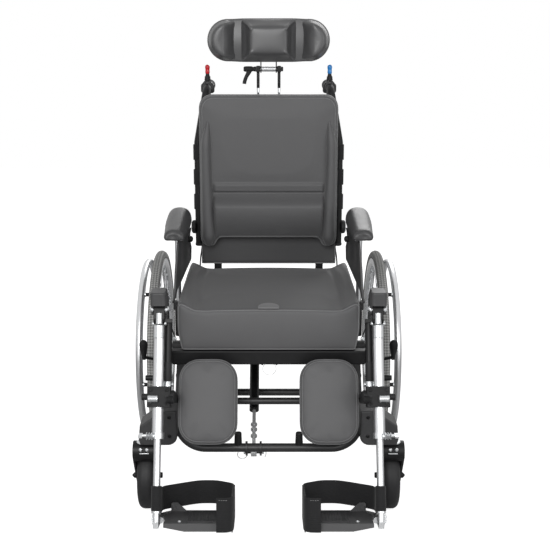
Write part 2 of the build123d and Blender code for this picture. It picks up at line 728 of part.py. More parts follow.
with BuildPart() as front_tube:
    with BuildLine(Plane.XZ.offset(-FRONT_TUBE_Y)):
        Line((0, FRONT_TUBE_Z), (FRONT_TUBE_STRAIGHT, FRONT_TUBE_Z))
        CenterArc(
            (FRONT_TUBE_STRAIGHT, FRONT_TUBE_Z + FRONT_TUBE_BEND_R),
            FRONT_TUBE_BEND_R,
            -90,
            FRONT_TUBE_BEND,
        )
        Line(
            (bend_end_x, bend_end_z),
            (bend_end_x + tube_leg * cos(bend), bend_end_z + tube_leg * sin(bend)),
        )
    with BuildSketch(Plane(origin=(0, FRONT_TUBE_Y, FRONT_TUBE_Z), z_dir=(1, 0, 0))):
        Circle(FRONT_TUBE_R)
    sweep()
    mirror(about=Plane.YZ)
    for tab_x in (SPRING_X - SPRING_TABS_APART / 2, SPRING_X + SPRING_TABS_APART / 2):
        with BuildSketch(Plane.YZ.offset(tab_x)):
            with Locations((FRONT_TUBE_Y, FRONT_TUBE_Z)):
                Circle(FRONT_TUBE_R + 5)
            with Locations((AXLE_Y - TILT_SPRING_FOOT_FROM_AXLE, TILT_SPRING_FOOT_Z)):
                Circle(SPRING_PIN_R + 5)
            make_hull()
        extrude(amount=SPRING_TAB / 2, both=True)
    with Locations(across(SPRING_X, AXLE_Y - TILT_SPRING_FOOT_FROM_AXLE, TILT_SPRING_FOOT_Z)):
        Cylinder(SPRING_PIN_R, SPRING_TABS_APART + 3 * SPRING_TAB)
    for bumper_x in (-BUMPER_X, BUMPER_X):
        with Locations((bumper_x, FRONT_TUBE_Y, FRONT_TUBE_Z)):
            Cylinder(
                BUMPER_R,
                FRONT_TUBE_R + BUMPER_HEIGHT,
                align=(Align.CENTER, Align.CENTER, Align.MIN),
            )
save(front_tube, "front_tube")


def plate_hull(x_low, x_high, circles):
    """Flat plate between two X planes, the hull of circles given as (y, z, radius)."""
    with BuildSketch(Plane.YZ.offset(x_low), mode=Mode.PRIVATE) as outline:
        for y, z, radius in circles:
            with Locations((y, z)):
                Circle(radius)
        make_hull()
    extrude(outline.sketch, amount=x_high - x_low)


def brake_mount():
    """Flat bar from the castor housing to the brake pivot, with the pivot pin."""
    housing_y = STEM_Y + HOUSING_DEPTH / 2
    pivot_y = AXLE_Y - BRAKE_FROM_AXLE
    with BuildPart() as mount:
        plate_hull(
            BRAKE_BRACKET_X,
            BRAKE_BRACKET_X + BRAKE_PLATE,
            [
                (housing_y + 12, HOUSING_SHOULDER_Z - 4, 12),
                (pivot_y, BRAKE_PIVOT_Z, 11),
            ],
        )
        with Locations((BRAKE_BRACKET_X, housing_y, HOUSING_SHOULDER_Z - 18)):
            Box(BRAKE_PLATE, 16, 28, align=(Align.MIN, Align.MIN, Align.MIN))
        with Locations(across(BRAKE_BRACKET_X, pivot_y, BRAKE_PIVOT_Z)):
            Cylinder(
                BRAKE_PIVOT_R,
                3 * BRAKE_PLATE,
                align=(Align.CENTER, Align.CENTER, Align.MIN),
            )
    return mount


def side_frame():
    """Cast side frame with tilt post and anti-tip lug, and the wheel axle in its sleeve."""
    front_y = STEM_Y + HOUSING_DEPTH / 2
    rail_z = SIDE_RAIL_LOW_Z + SIDE_RAIL_HEIGHT / 2
    rail_r = SIDE_RAIL_HEIGHT / 2
    rear_cross = (AXLE_Y - REAR_CROSS_FROM_AXLE, REAR_CROSS_Z + 10, rail_r - 2)
    axle_boss = (AXLE_Y, AXLE_Z, AXLE_BOSS_R)
    lug = (AXLE_Y + ANTI_TIP_PIVOT_BEHIND_AXLE, ANTI_TIP_PIVOT_Z, 13)
    front_cross = (AXLE_Y - FRONT_CROSS_FROM_AXLE, FRONT_CROSS_Z, FRONT_CROSS_R + 6)
    pivot = (TILT_Y, TILT_PIVOT_Z, PIVOT_BOSS_R)
    post_foot = (TILT_Y + 45, rail_z + 4, rail_r - 4)
    with BuildPart() as frame:
        plate_hull(FRAME_INNER_X, FRAME_OUTER_X, [(front_y + rail_r, rail_z, rail_r), rear_cross])
        plate_hull(FRAME_INNER_X, FRAME_OUTER_X, [rear_cross, axle_boss])
        plate_hull(FRAME_INNER_X, FRAME_OUTER_X, [axle_boss, lug])
        plate_hull(FRAME_INNER_X, FRAME_OUTER_X, [front_cross, pivot, post_foot])
        with Locations((SIDE_FRAME_X, front_y, rail_z)):
            Box(
                SIDE_FRAME_THICKNESS,
                rail_r,
                SIDE_RAIL_HEIGHT,
                align=(Align.CENTER, Align.MIN, Align.CENTER),
            )
        with Locations(across(SIDE_FRAME_X, TILT_Y, (TILT_PIVOT_Z + rail_z) / 2)):
            Cylinder(PIVOT_BOSS_R - 4, SIDE_FRAME_THICKNESS, mode=Mode.SUBTRACT)
        with Locations(across(SIDE_FRAME_X, TILT_Y, TILT_PIVOT_Z)):
            Cylinder(PIVOT_PIN_R + BEARING_FIT, SIDE_FRAME_THICKNESS, mode=Mode.SUBTRACT)
        lug_y = AXLE_Y + ANTI_TIP_PIVOT_BEHIND_AXLE
        with Locations(across(SIDE_FRAME_X, lug_y, ANTI_TIP_PIVOT_Z)):
            Cylinder(ANTI_TIP_AXLE_R + BEARING_FIT, SIDE_FRAME_THICKNESS, mode=Mode.SUBTRACT)
        sleeve_end_x = WHEEL_X - HUB_INNER_END - AXLE_SLEEVE_GAP
        pin_end_x = WHEEL_X + HUB_OUTER_END + 1
        with Locations(across(FRAME_OUTER_X, AXLE_Y, AXLE_Z)):
            along_x = (Align.CENTER, Align.CENTER, Align.MIN)
            Cylinder(AXLE_SLEEVE_R, sleeve_end_x - FRAME_OUTER_X, align=along_x)
            Cylinder(AXLE_R, pin_end_x - FRAME_OUTER_X, align=along_x)
        with Locations(across(pin_end_x, AXLE_Y, AXLE_Z)):
            Cylinder(AXLE_CAP_R, AXLE_CAP_LENGTH, align=along_x)
        add(castor_housing().part)
        add(brake_mount().part)
    return frame


save_pair(side_frame(), "side_frame")

with BuildPart() as cross_tubes:
    for from_axle, height, radius in (
        (FRONT_CROSS_FROM_AXLE, FRONT_CROSS_Z, FRONT_CROSS_R),
        (REAR_CROSS_FROM_AXLE, REAR_CROSS_Z, REAR_CROSS_R),
    ):
        with Locations(across(0, AXLE_Y - from_axle, height)):
            Cylinder(radius, 2 * FRAME_INNER_X)
save(cross_tubes, "cross_tubes")


# ---- Anti-tip arms --------------------------------------------------------------------
def anti_tip_arm():
    """Flat bar that hinges on the side frame, with the pins at both ends."""
    bar_x = FRAME_OUTER_X + ANTI_TIP_GAP
    pivot_y = AXLE_Y + ANTI_TIP_PIVOT_BEHIND_AXLE
    wheel_y = AXLE_Y + ANTI_TIP_WHEEL_BEHIND_AXLE
    wheel_z = ANTI_TIP_LIFT + ANTI_TIP_WHEEL_R
    half = ANTI_TIP_BAR / 2
    with BuildPart() as arm:
        plate_hull(
            bar_x,
            bar_x + ANTI_TIP_BAR_THICKNESS,
            [(pivot_y, ANTI_TIP_PIVOT_Z, half), (wheel_y, wheel_z, half)],
        )
        pin_length = SIDE_FRAME_THICKNESS + ANTI_TIP_GAP + ANTI_TIP_BAR_THICKNESS
        axle_length = ANTI_TIP_WHEEL_WIDTH + ANTI_TIP_GAP + ANTI_TIP_BAR_THICKNESS
        for y, z, length in (
            (pivot_y, ANTI_TIP_PIVOT_Z, pin_length),
            (wheel_y, wheel_z, axle_length),
        ):
            with Locations(across(bar_x + ANTI_TIP_BAR_THICKNESS, y, z)):
                Cylinder(ANTI_TIP_AXLE_R, length, align=(Align.CENTER, Align.CENTER, Align.MAX))
    return arm


def anti_tip_wheel():
    """Small roller with rounded edges."""
    outer_x = FRAME_OUTER_X
    wheel_z = ANTI_TIP_LIFT + ANTI_TIP_WHEEL_R
    centre = across(outer_x, AXLE_Y + ANTI_TIP_WHEEL_BEHIND_AXLE, wheel_z)
    with BuildPart() as wheel:
        with Locations(centre):
            Cylinder(
                ANTI_TIP_WHEEL_R,
                ANTI_TIP_WHEEL_WIDTH,
                align=(Align.CENTER, Align.CENTER, Align.MAX),
            )
        fillet(wheel.edges().filter_by(GeomType.CIRCLE), 4)
        with Locations(centre):
            Cylinder(
                ANTI_TIP_AXLE_R + BEARING_FIT,
                2 * ANTI_TIP_WHEEL_WIDTH,
                mode=Mode.SUBTRACT,
            )
    return wheel


save_pair(anti_tip_arm(), "anti_tip_arm")
save_pair(anti_tip_wheel(), "anti_tip_wheel")


# ---- Wheel brakes ---------------------------------------------------------------------
def brake_lever():
    """Push-to-lock lever: knob and rod above the pivot, shoe bar below it."""
    pivot_y = AXLE_Y - BRAKE_FROM_AXLE
    plate_x = BRAKE_BRACKET_X + BRAKE_PLATE + 1
    shoe_y = AXLE_Y - TYRE_OUTER_R - BRAKE_SHOE_GAP - BRAKE_SHOE_R
    shoe_z = AXLE_Z + 4
    rod_start = Vector(plate_x + BRAKE_PLATE / 2, pivot_y - 10, BRAKE_PIVOT_Z + 6)
    rod_end = Vector(BRAKE_LEVER_X, pivot_y - 60, BRAKE_PIVOT_Z + 30)
    rod = rod_end - rod_start
    with BuildPart() as lever:
        plate_hull(
            plate_x,
            plate_x + BRAKE_PLATE,
            [
                (pivot_y, BRAKE_PIVOT_Z, 11),
                (rod_start.Y, rod_start.Z, 7),
                (shoe_y, shoe_z, BRAKE_SHOE_R),
            ],
        )
        with Locations(across(plate_x, shoe_y, shoe_z)):
            Cylinder(
                BRAKE_SHOE_R,
                WHEEL_X + TYRE_WIDTH / 2 - plate_x,
                align=(Align.CENTER, Align.CENTER, Align.MIN),
            )
        with BuildSketch(Plane(origin=rod_start, z_dir=rod)):
            Circle(BRAKE_ROD_R)
        extrude(amount=rod.length)
        knob_axis = Plane(origin=rod_end, z_dir=(0, -0.25, 1))
        with Locations(knob_axis.offset(-BRAKE_ROD_R)):
            Cone(
                BRAKE_ROD_R + 1,
                BRAKE_KNOB_R,
                BRAKE_KNOB_HEIGHT - BRAKE_KNOB_R,
                align=(Align.CENTER, Align.CENTER, Align.MIN),
            )
        with Locations(knob_axis.offset(BRAKE_KNOB_HEIGHT - BRAKE_KNOB_R - BRAKE_ROD_R)):
            Sphere(BRAKE_KNOB_R)
        with Locations(across(plate_x, pivot_y, BRAKE_PIVOT_Z)):
            Cylinder(
                BRAKE_PIVOT_R + BEARING_FIT,
                4 * BRAKE_PLATE,
                mode=Mode.SUBTRACT,
            )
    return lever


save_pair(brake_lever(), "brake_lever")

# ---- Seat frame -----------------------------------------------------------------------
rail_front_y = SEAT_FRONT_Y + RAIL_SETBACK
rail_rear_y = rail_front_y + RAIL_DEPTH
tube_outer_x = SEAT_TUBE_X + SEAT_TUBE_WIDTH / 2
ear_outer_x = FRAME_INNER_X - SEAT_EAR_GAP
tube_mid_z = PAN_BOTTOM_Z - SEAT_TUBE_HEIGHT / 2
spring_tab_x = SPRING_EYE_WIDTH / 2 + HINGE_SIDE_GAP

with BuildPart() as seat_frame:
    with Locations((0, rail_front_y, PAN_TOP_Z)):
        Box(2 * RAIL_HALF_LENGTH, RAIL_DEPTH, RAIL_HEIGHT, align=(Align.CENTER, Align.MIN, Align.MAX))
    fillet(seat_frame.edges().filter_by(Axis.X), 3)
    with Locations((0, rail_rear_y - 2, PAN_TOP_Z)):
        Box(
            2 * PAN_HALF_WIDTH,
            SEAT_REAR_Y - rail_rear_y + 2,
            PAN_THICKNESS,
            align=(Align.CENTER, Align.MIN, Align.MAX),
        )
    with Locations((0, SEAT_REAR_Y - 8, PAN_BOTTOM_Z + 1)):
        Box(2 * tube_outer_x, 18, SEAT_BAR_HEIGHT + 1, align=(Align.CENTER, Align.MAX, Align.MAX))
    for side in (-1, 1):
        with Locations((side * SEAT_TUBE_X, rail_rear_y - 2, PAN_BOTTOM_Z + 1)):
            Box(
                SEAT_TUBE_WIDTH,
                SEAT_REAR_Y - rail_rear_y - 8,
                SEAT_TUBE_HEIGHT + 1,
                align=(Align.CENTER, Align.MIN, Align.MAX),
            )
        low_x, high_x = sorted((side * (tube_outer_x - 1), side * ear_outer_x))
        plate_hull(
            low_x,
            high_x,
            [
                (TILT_Y, TILT_PIVOT_Z, PIVOT_BOSS_R),
                (TILT_Y - 30, tube_mid_z, SEAT_TUBE_HEIGHT / 2),
                (TILT_Y + 30, tube_mid_z, SEAT_TUBE_HEIGHT / 2),
            ],
        )
        pin_end_x = FRAME_OUTER_X + SEAT_EAR_GAP
        with Locations(across(side * (tube_outer_x + pin_end_x) / 2, TILT_Y, TILT_PIVOT_Z)):
            Cylinder(PIVOT_PIN_R, pin_end_x - tube_outer_x)
        hinge_inner_x = BACK_LEG_X - BACK_LEG_WIDTH / 2 - HINGE_SIDE_GAP
        hinge_outer_x = BACK_LEG_X + BACK_LEG_WIDTH / 2 + HINGE_SIDE_GAP
        for lug_x in (hinge_inner_x - HINGE_LUG / 2, hinge_outer_x + HINGE_LUG / 2):
            lug_heel = (SEAT_REAR_Y, BACK_HINGE_Z - HINGE_LUG_HEEL_DROP, HINGE_LUG_HEEL_R)
            lug_root = (SEAT_REAR_Y - HINGE_LUG_ROOT, PAN_BOTTOM_Z - SEAT_BAR_HEIGHT / 2, 9)
            lug_low = side * lug_x - HINGE_LUG / 2
            lug_eye = (HINGE_Y, BACK_HINGE_Z, HINGE_EYE_R)
            plate_hull(lug_low, lug_low + HINGE_LUG, [lug_eye, lug_heel])
            plate_hull(
                lug_low,
                lug_low + HINGE_LUG,
                [lug_heel, lug_root],
            )
        with Locations(across(side * BACK_LEG_X, HINGE_Y, BACK_HINGE_Z)):
            Cylinder(HINGE_PIN_R, hinge_outer_x - hinge_inner_x + 2 * HINGE_LUG)
        with Locations((side * HANGER_POST_X, HANGER_Y, PAN_TOP_Z)):
            Cylinder(HANGER_SOCKET_R, RAIL_HEIGHT, align=(Align.CENTER, Align.CENTER, Align.MAX))
        with Locations((side * (RAIL_HALF_LENGTH + HANGER_POST_X) / 2, HANGER_Y, PAN_TOP_Z)):
            Box(
                HANGER_POST_X - RAIL_HALF_LENGTH + 2,
                HANGER_SOCKET_R,
                RAIL_HEIGHT,
                align=(Align.CENTER, Align.CENTER, Align.MAX),
            )
        with Locations((side * HANGER_POST_X, HANGER_Y, PAN_TOP_Z)):
            Cylinder(HANGER_PIN_R + BEARING_FIT, 3 * RAIL_HEIGHT, mode=Mode.SUBTRACT)
        with Locations((side * (tube_outer_x + ARM_POST_X) / 2, ARM_POST_Y, PAN_BOTTOM_Z)):
            Box(
                ARM_POST_X - tube_outer_x + 2,
                2 * ARM_SOCKET_R,
                SEAT_TUBE_HEIGHT - 2,
                align=(Align.CENTER, Align.CENTER, Align.MAX),
            )
        with Locations((side * ARM_POST_X, ARM_POST_Y, ARM_SOCKET_TOP_Z)):
            Cylinder(
                ARM_SOCKET_R,
                ARM_SOCKET_TOP_Z - ARM_SOCKET_BOTTOM_Z,
                align=(Align.CENTER, Align.CENTER, Align.MAX),
            )
            Cylinder(
                ARM_COLLAR_R,
                ARM_COLLAR_HEIGHT,
                align=(Align.CENTER, Align.CENTER, Align.MAX),
            )
            Cylinder(
                ARM_POST_R + BEARING_FIT,
                ARM_SOCKET_TOP_Z - ARM_SOCKET_BOTTOM_Z,
                align=(Align.CENTER, Align.CENTER, Align.MAX),
                mode=Mode.SUBTRACT,
            )
    for eye_x, from_axle, eye_z in (
        (SPRING_X, TILT_SPRING_TOP_FROM_AXLE, TILT_SPRING_TOP_Z),
        (RECLINE_SPRING_X, RECLINE_SPRING_BASE_FROM_AXLE, RECLINE_SPRING_BASE_Z),
    ):
        for side in (-1, 1):
            tab_x = eye_x + side * (spring_tab_x + SPRING_TAB / 2)
            plate_hull(
                tab_x - SPRING_TAB / 2,
                tab_x + SPRING_TAB / 2,
                [
                    (AXLE_Y - from_axle, eye_z, SPRING_EYE_R),
                    (AXLE_Y - from_axle, PAN_BOTTOM_Z - 5, SPRING_EYE_R - 3),
                ],
            )
        with Locations(across(eye_x, AXLE_Y - from_axle, eye_z)):
            Cylinder(SPRING_PIN_R, 2 * (spring_tab_x + SPRING_TAB))
    for hook_x in (-15, 19):
        with Locations((hook_x, rail_rear_y - 6, PAN_TOP_Z - RAIL_HEIGHT)):
            Box(4, 8, 12)
save(seat_frame, "seat_frame")

# ---- Seat cushion ---------------------------------------------------------------------
flat_half = CUSHION_HALF_WIDTH - CUSHION_BOLSTER_WIDTH - CUSHION_SLOPE_WIDTH
bolster_half = CUSHION_HALF_WIDTH - CUSHION_BOLSTER_WIDTH
bolster_top = CUSHION_TOP_Z + CUSHION_BOLSTER_RISE

with BuildPart() as seat_cushion:
    with BuildSketch(Plane.XZ.offset(-SEAT_FRONT_Y)) as cushion_section:
        with BuildLine():
            Polyline(
                (flat_half, CUSHION_TOP_Z),
                (bolster_half, bolster_top),
                (CUSHION_HALF_WIDTH, bolster_top),
                (CUSHION_HALF_WIDTH, CUSHION_BOTTOM_Z + CUSHION_HEIGHT / 2),
                (CUSHION_HALF_WIDTH - CUSHION_DRAW_IN, CUSHION_BOTTOM_Z),
                (-CUSHION_HALF_WIDTH + CUSHION_DRAW_IN, CUSHION_BOTTOM_Z),
                (-CUSHION_HALF_WIDTH, CUSHION_BOTTOM_Z + CUSHION_HEIGHT / 2),
                (-CUSHION_HALF_WIDTH, bolster_top),
                (-bolster_half, bolster_top),
                (-flat_half, CUSHION_TOP_Z),
            )
            ThreePointArc(
                (-flat_half, CUSHION_TOP_Z),
                (0, CUSHION_TOP_Z + CUSHION_CROWN),
                (flat_half, CUSHION_TOP_Z),
            )
        make_face()
        rolls = cushion_section.vertices().filter_by(lambda corner: corner.Y > CUSHION_TOP_Z + 2)
        fillet(rolls, CUSHION_EDGE_R)
    extrude(amount=-CUSHION_LENGTH)
    for end in (0, -1):
        fillet(seat_cushion.faces().sort_by(Axis.Y)[end].edges(), CUSHION_EDGE_R / 2)
    tongue_z = CUSHION_TOP_Z + CUSHION_CROWN - 1
    with BuildSketch(Plane.XY.offset(tongue_z)):
        with Locations((0, SEAT_FRONT_Y + CUSHION_EDGE_R)):
            Ellipse(TONGUE_HALF_WIDTH, TONGUE_LENGTH)
            with Locations((0, -TONGUE_LENGTH)):
                Rectangle(
                    2 * TONGUE_HALF_WIDTH,
                    TONGUE_LENGTH,
                    align=(Align.CENTER, Align.MIN),
                    mode=Mode.SUBTRACT,
                )
    extrude(amount=TONGUE_THICKNESS)
save(seat_cushion, "seat_cushion")


# ---- Arm rests ------------------------------------------------------------------------
def arm_plate_edge():
    """Underside of the mounting plate below the pad."""
    return ARM_PAD_BOTTOM_Z - ARM_PLATE_THICKNESS


def arm_post():
    """Telescopic post with the plate that carries the pad."""
    with BuildPart() as post:
        with Locations((ARM_POST_X, ARM_POST_Y, ARM_POST_BOTTOM_Z)):
            Cylinder(
                ARM_POST_R,
                ARM_PAD_BOTTOM_Z - ARM_POST_BOTTOM_Z - 1,
                align=(Align.CENTER, Align.CENTER, Align.MIN),
            )
        with BuildSketch(Plane.XY.offset(arm_plate_edge())):
            with Locations((ARM_POST_X - 6, ARM_POST_Y)):
                RectangleRounded(30, ARM_PAD_LENGTH - 110, 6)
        extrude(amount=ARM_PLATE_THICKNESS)
    return post


def arm_panel():
    """Moulded side guard below the pad, with its clamp knob and post bosses."""
    turn = radians(PANEL_TOE_IN)
    plane = Plane(
        origin=(PANEL_X, ARM_POST_Y, 0), x_dir=(-sin(turn), cos(turn), 0), z_dir=(cos(turn), sin(turn), 0)
    )
    top = arm_plate_edge()
    with BuildPart() as panel:
        with BuildSketch(plane) as outline:
            with BuildLine():
                Polyline(
                    (-72, top),
                    (-186, 508),
                    (-120, 526),
                    (178, 534),
                    (192, 560),
                    (186, 620),
                    (60, top),
                    close=True,
                )
            make_face()
            fillet(outline.vertices().filter_by(lambda corner: corner.Y < top - 5), 9)
        extrude(amount=PANEL_THICKNESS / 2, both=True)
        for boss_z in (565, 615):
            with Locations(across(PANEL_X, ARM_POST_Y, boss_z)):
                Cylinder(6, ARM_POST_X - PANEL_X, align=(Align.CENTER, Align.CENTER, Align.MIN))
        with Locations(across(PANEL_X - 4, ARM_POST_Y + 140, 598)):
            Cylinder(8, 14, align=(Align.CENTER, Align.CENTER, Align.MAX))
        with Locations((ARM_POST_X, ARM_POST_Y, 0)):
            Cylinder(
                ARM_POST_R,
                top,
                align=(Align.CENTER, Align.CENTER, Align.MIN),
                mode=Mode.SUBTRACT,
            )
    return panel


def arm_pad():
    """Domed pad, turned out a little towards its rear end."""
    front_y = AXLE_Y - ARM_PAD_FRONT_FROM_AXLE
    turn = asin((ARM_PAD_REAR_X - ARM_PAD_FRONT_X) / ARM_PAD_LENGTH)
    front = Plane(
        origin=(ARM_PAD_FRONT_X, front_y, ARM_PAD_BOTTOM_Z),
        x_dir=(cos(turn), -sin(turn), 0),
        z_dir=(-sin(turn), -cos(turn), 0),
    )
    shoulder = ARM_PAD_HEIGHT * 0.45
    with BuildPart() as pad:
        with BuildSketch(front):
            with BuildLine():
                Polyline(
                    (ARM_PAD_HALF_WIDTH, shoulder),
                    (ARM_PAD_HALF_WIDTH - 5, 0),
                    (-ARM_PAD_HALF_WIDTH + 5, 0),
                    (-ARM_PAD_HALF_WIDTH, shoulder),
                )
                ThreePointArc(
                    (-ARM_PAD_HALF_WIDTH, shoulder),
                    (0, ARM_PAD_HEIGHT),
                    (ARM_PAD_HALF_WIDTH, shoulder),
                )
            make_face()
        extrude(amount=-ARM_PAD_LENGTH)
        middle = front.offset(-ARM_PAD_LENGTH / 2).origin
        plan = Plane(origin=middle, x_dir=front.x_dir, z_dir=(0, 0, 1))
        with BuildSketch(plan):
            RectangleRounded(2 * ARM_PAD_HALF_WIDTH + 2, ARM_PAD_LENGTH, ARM_PAD_END_R)
        extrude(amount=ARM_PAD_HEIGHT, mode=Mode.INTERSECT)
    return pad


save_pair(arm_post(), "arm_post")
save_pair(arm_panel(), "arm_panel")
save_pair(arm_pad(), "arm_pad")

# ---- Back frame -----------------------------------------------------------------------
handle_end_y = BACK_TUBE_Y + HANDLE_REACH
grip_start_y = handle_end_y - GRIP_LENGTH
lever_y = grip_start_y - LEVER_FROM_GRIP
lever_pivot_z = GRIP_Z + LEVER_PIVOT_UP
leg_top_z = LOW_CROSS_Z + BACK_LEG_TOP
spring_cross_z = BACK_HINGE_Z - RECLINE_ARM
knob_start_x = BACK_TUBE_X + BACK_TUBE_R - 2

with BuildPart() as back_frame:
    for side in (-1, 1):
        with BuildLine():
            FilletPolyline(
                (side * BACK_TUBE_X, BACK_TUBE_Y, BACK_TUBE_BOTTOM_Z),
                (side * BACK_TUBE_X, BACK_TUBE_Y, BACK_BEND_Z),
                (side * GRIP_X, BACK_TUBE_Y, GRIP_Z),
                (side * GRIP_X, handle_end_y, GRIP_Z),
                radius=HANDLE_BEND_R,
            )
        with BuildSketch(Plane.XY.offset(BACK_TUBE_BOTTOM_Z)):
            with Locations((side * BACK_TUBE_X, BACK_TUBE_Y)):
                Circle(BACK_TUBE_R)
        sweep()
        leg_inner_x = side * BACK_LEG_X - BACK_LEG_WIDTH / 2
        plate_hull(
            leg_inner_x,
            leg_inner_x + BACK_LEG_WIDTH,
            [
                (HINGE_Y, BACK_HINGE_Z, BACK_LEG_DEPTH / 2),
                (HINGE_Y, spring_cross_z, BACK_LEG_DEPTH / 2),
            ],
        )
        with Locations((side * BACK_LEG_X, HINGE_Y, leg_top_z)):
            Box(
                BACK_LEG_WIDTH,
                BACK_LEG_DEPTH,
                leg_top_z - BACK_HINGE_Z,
                align=(Align.CENTER, Align.CENTER, Align.MAX),
            )
        with Locations(across(side * BACK_LEG_X, HINGE_Y, BACK_HINGE_Z)):
            Cylinder(HINGE_PIN_R + BEARING_FIT, 2 * BACK_LEG_WIDTH, mode=Mode.SUBTRACT)
        with Locations(across(side * (BACK_LEG_X + BACK_LEG_WIDTH / 2), HINGE_Y, FERRULE_Z)):
            Cylinder(FERRULE_R, 2 * FERRULE_LENGTH)
        with Locations(across(side * knob_start_x, BACK_TUBE_Y, SIDE_KNOB_Z)):
            Cylinder(SIDE_KNOB_R, 2 * SIDE_KNOB_LENGTH)
        with Locations(Plane(origin=(side * GRIP_X, lever_y, GRIP_Z), z_dir=(0, -1, 0))):
            Cylinder(LEVER_CLAMP_R, LEVER_CLAMP_LENGTH, align=(Align.CENTER, Align.CENTER, Align.MIN))
        for cheek in (-1, 1):
            cheek_x = side * GRIP_X + cheek * (LEVER_THICKNESS / 2 + LEVER_SIDE_GAP + LEVER_CHEEK / 2)
            plate_hull(
                cheek_x - LEVER_CHEEK / 2,
                cheek_x + LEVER_CHEEK / 2,
                [
                    (lever_y - LEVER_CLAMP_LENGTH / 2, lever_pivot_z, LEVER_EYE_R),
                    (lever_y - LEVER_CLAMP_LENGTH / 2, GRIP_Z + LEVER_EYE_R, LEVER_EYE_R + 1),
                ],
            )
        with Locations(across(side * GRIP_X, lever_y - LEVER_CLAMP_LENGTH / 2, lever_pivot_z)):
            Cylinder(LEVER_PIN_R, LEVER_THICKNESS + 2 * LEVER_SIDE_GAP + 2 * LEVER_CHEEK)
    with Locations(across(0, BACK_TUBE_Y, LOW_CROSS_Z)):
        Cylinder(BACK_CROSS_R, 2 * BACK_TUBE_X)
    high_cross_x = BACK_TUBE_X - (BACK_TUBE_X - GRIP_X) * (HIGH_CROSS_Z - BACK_BEND_Z) / (
        GRIP_Z - BACK_BEND_Z
    )
    with Locations(across(0, BACK_TUBE_Y, HIGH_CROSS_Z)):
        Cylinder(BACK_CROSS_R, 2 * high_cross_x)
    with Locations(across(0, HINGE_Y, spring_cross_z)):
        Cylinder(SPRING_CROSS_R, 2 * BACK_LEG_X)
    with Locations((0, HEAD_STEM_Y, HIGH_CROSS_Z)):
        Box(STEM_CLAMP_WIDTH, STEM_CLAMP_DEPTH, STEM_CLAMP_HEIGHT)
    fillet(back_frame.edges().filter_by(Axis.Z).sort_by_distance((0, HEAD_STEM_Y, HIGH_CROSS_Z))[:4], 5)
    for side in (-1, 1):
        with Locations((side * STEM_X, HEAD_STEM_Y, HIGH_CROSS_Z)):
            Cylinder(STEM_R + BEARING_FIT, 2 * STEM_CLAMP_HEIGHT, mode=Mode.SUBTRACT)
save(back_frame, "back_frame")

# ---- Tension straps, sling and back cushion -------------------------------------------
loop_inner_r = BACK_TUBE_R + STRAP_CLEARANCE
loop_outer_r = loop_inner_r + STRAP_THICKNESS

with BuildPart() as back_straps:
    for number in range(STRAPS):
        strap_z = STRAP_FIRST_Z + number * STRAP_PITCH
        with BuildSketch(Plane.XY.offset(strap_z)):
            with Locations((0, BACK_TUBE_Y)):
                SlotCenterToCenter(2 * BACK_TUBE_X, 2 * loop_outer_r)
                SlotCenterToCenter(2 * BACK_TUBE_X, 2 * loop_inner_r, mode=Mode.SUBTRACT)
        extrude(amount=STRAP_HEIGHT / 2, both=True)
        with Locations((STRAP_TAIL_X, BACK_TUBE_Y + loop_outer_r, strap_z)):
            Box(
                STRAP_TAIL_LENGTH,
                STRAP_THICKNESS,
                STRAP_HEIGHT - 4,
                align=(Align.CENTER, Align.MIN, Align.CENTER),
            )
save(back_straps, "back_straps")

sling_height = BACKREST_TOP_Z - SLING_BOTTOM_Z
with BuildPart() as back_sling:
    with BuildSketch(Plane.XZ.offset(-SLING_REAR_Y)):
        with Locations((0, SLING_BOTTOM_Z + sling_height / 2)):
            RectangleRounded(2 * BACKREST_HALF_WIDTH, sling_height, BACKREST_CORNER_R)
    extrude(amount=SLING_THICKNESS)
    chamfer(back_sling.faces().sort_by(Axis.Y)[0].edges(), 1.2)
save(back_sling, "back_sling")

cushion_height = BACKREST_TOP_Z - BACKREST_BOTTOM_Z
with BuildPart() as back_cushion:
    with BuildSketch(Plane.XZ.offset(-BACKREST_REAR_Y)):
        with Locations((0, BACKREST_BOTTOM_Z + cushion_height / 2)):
            RectangleRounded(2 * BACKREST_HALF_WIDTH, cushion_height, BACKREST_CORNER_R)
    extrude(amount=BACKREST_THICKNESS)
    fillet(back_cushion.faces().sort_by(Axis.Y)[0].edges(), BACKREST_EDGE_R)
    with BuildSketch(Plane.YZ.offset(-LUMBAR_HALF_WIDTH)):
        with BuildLine():
            ThreePointArc(
                (BACKREST_FACE_Y + 2, LUMBAR_BOTTOM_Z),
                (BACKREST_FACE_Y - LUMBAR_RISE, (LUMBAR_BOTTOM_Z + LUMBAR_TOP_Z) / 2),
                (BACKREST_FACE_Y + 2, LUMBAR_TOP_Z),
            )
            Line((BACKREST_FACE_Y + 2, LUMBAR_TOP_Z), (BACKREST_FACE_Y + 2, LUMBAR_BOTTOM_Z))
        make_face()
    extrude(amount=2 * LUMBAR_HALF_WIDTH)
    for side in (-1, 1):
        roll_x = side * (BACKREST_HALF_WIDTH - BACKREST_SIDE_WIDTH / 2)
        with BuildSketch(Plane.XY.offset(BACKREST_SIDE_BOTTOM_Z)):
            with Locations((roll_x, BACKREST_FACE_Y)):
                Ellipse(BACKREST_SIDE_WIDTH / 2, BACKREST_SIDE_RISE)
            with Locations((roll_x, BACKREST_REAR_Y)):
                Rectangle(
                    BACKREST_SIDE_WIDTH,
                    BACKREST_THICKNESS,
                    align=(Align.CENTER, Align.MAX),
                )
        extrude(amount=BACKREST_SIDE_TOP_Z - BACKREST_SIDE_BOTTOM_Z)
    rounded = back_cushion.edges().filter_by_position(
        Axis.Z, BACKREST_SIDE_TOP_Z, BACKREST_SIDE_TOP_Z
    )
    fillet(rounded.filter_by(GeomType.ELLIPSE), BACKREST_EDGE_R)
save(back_cushion, "back_cushion")

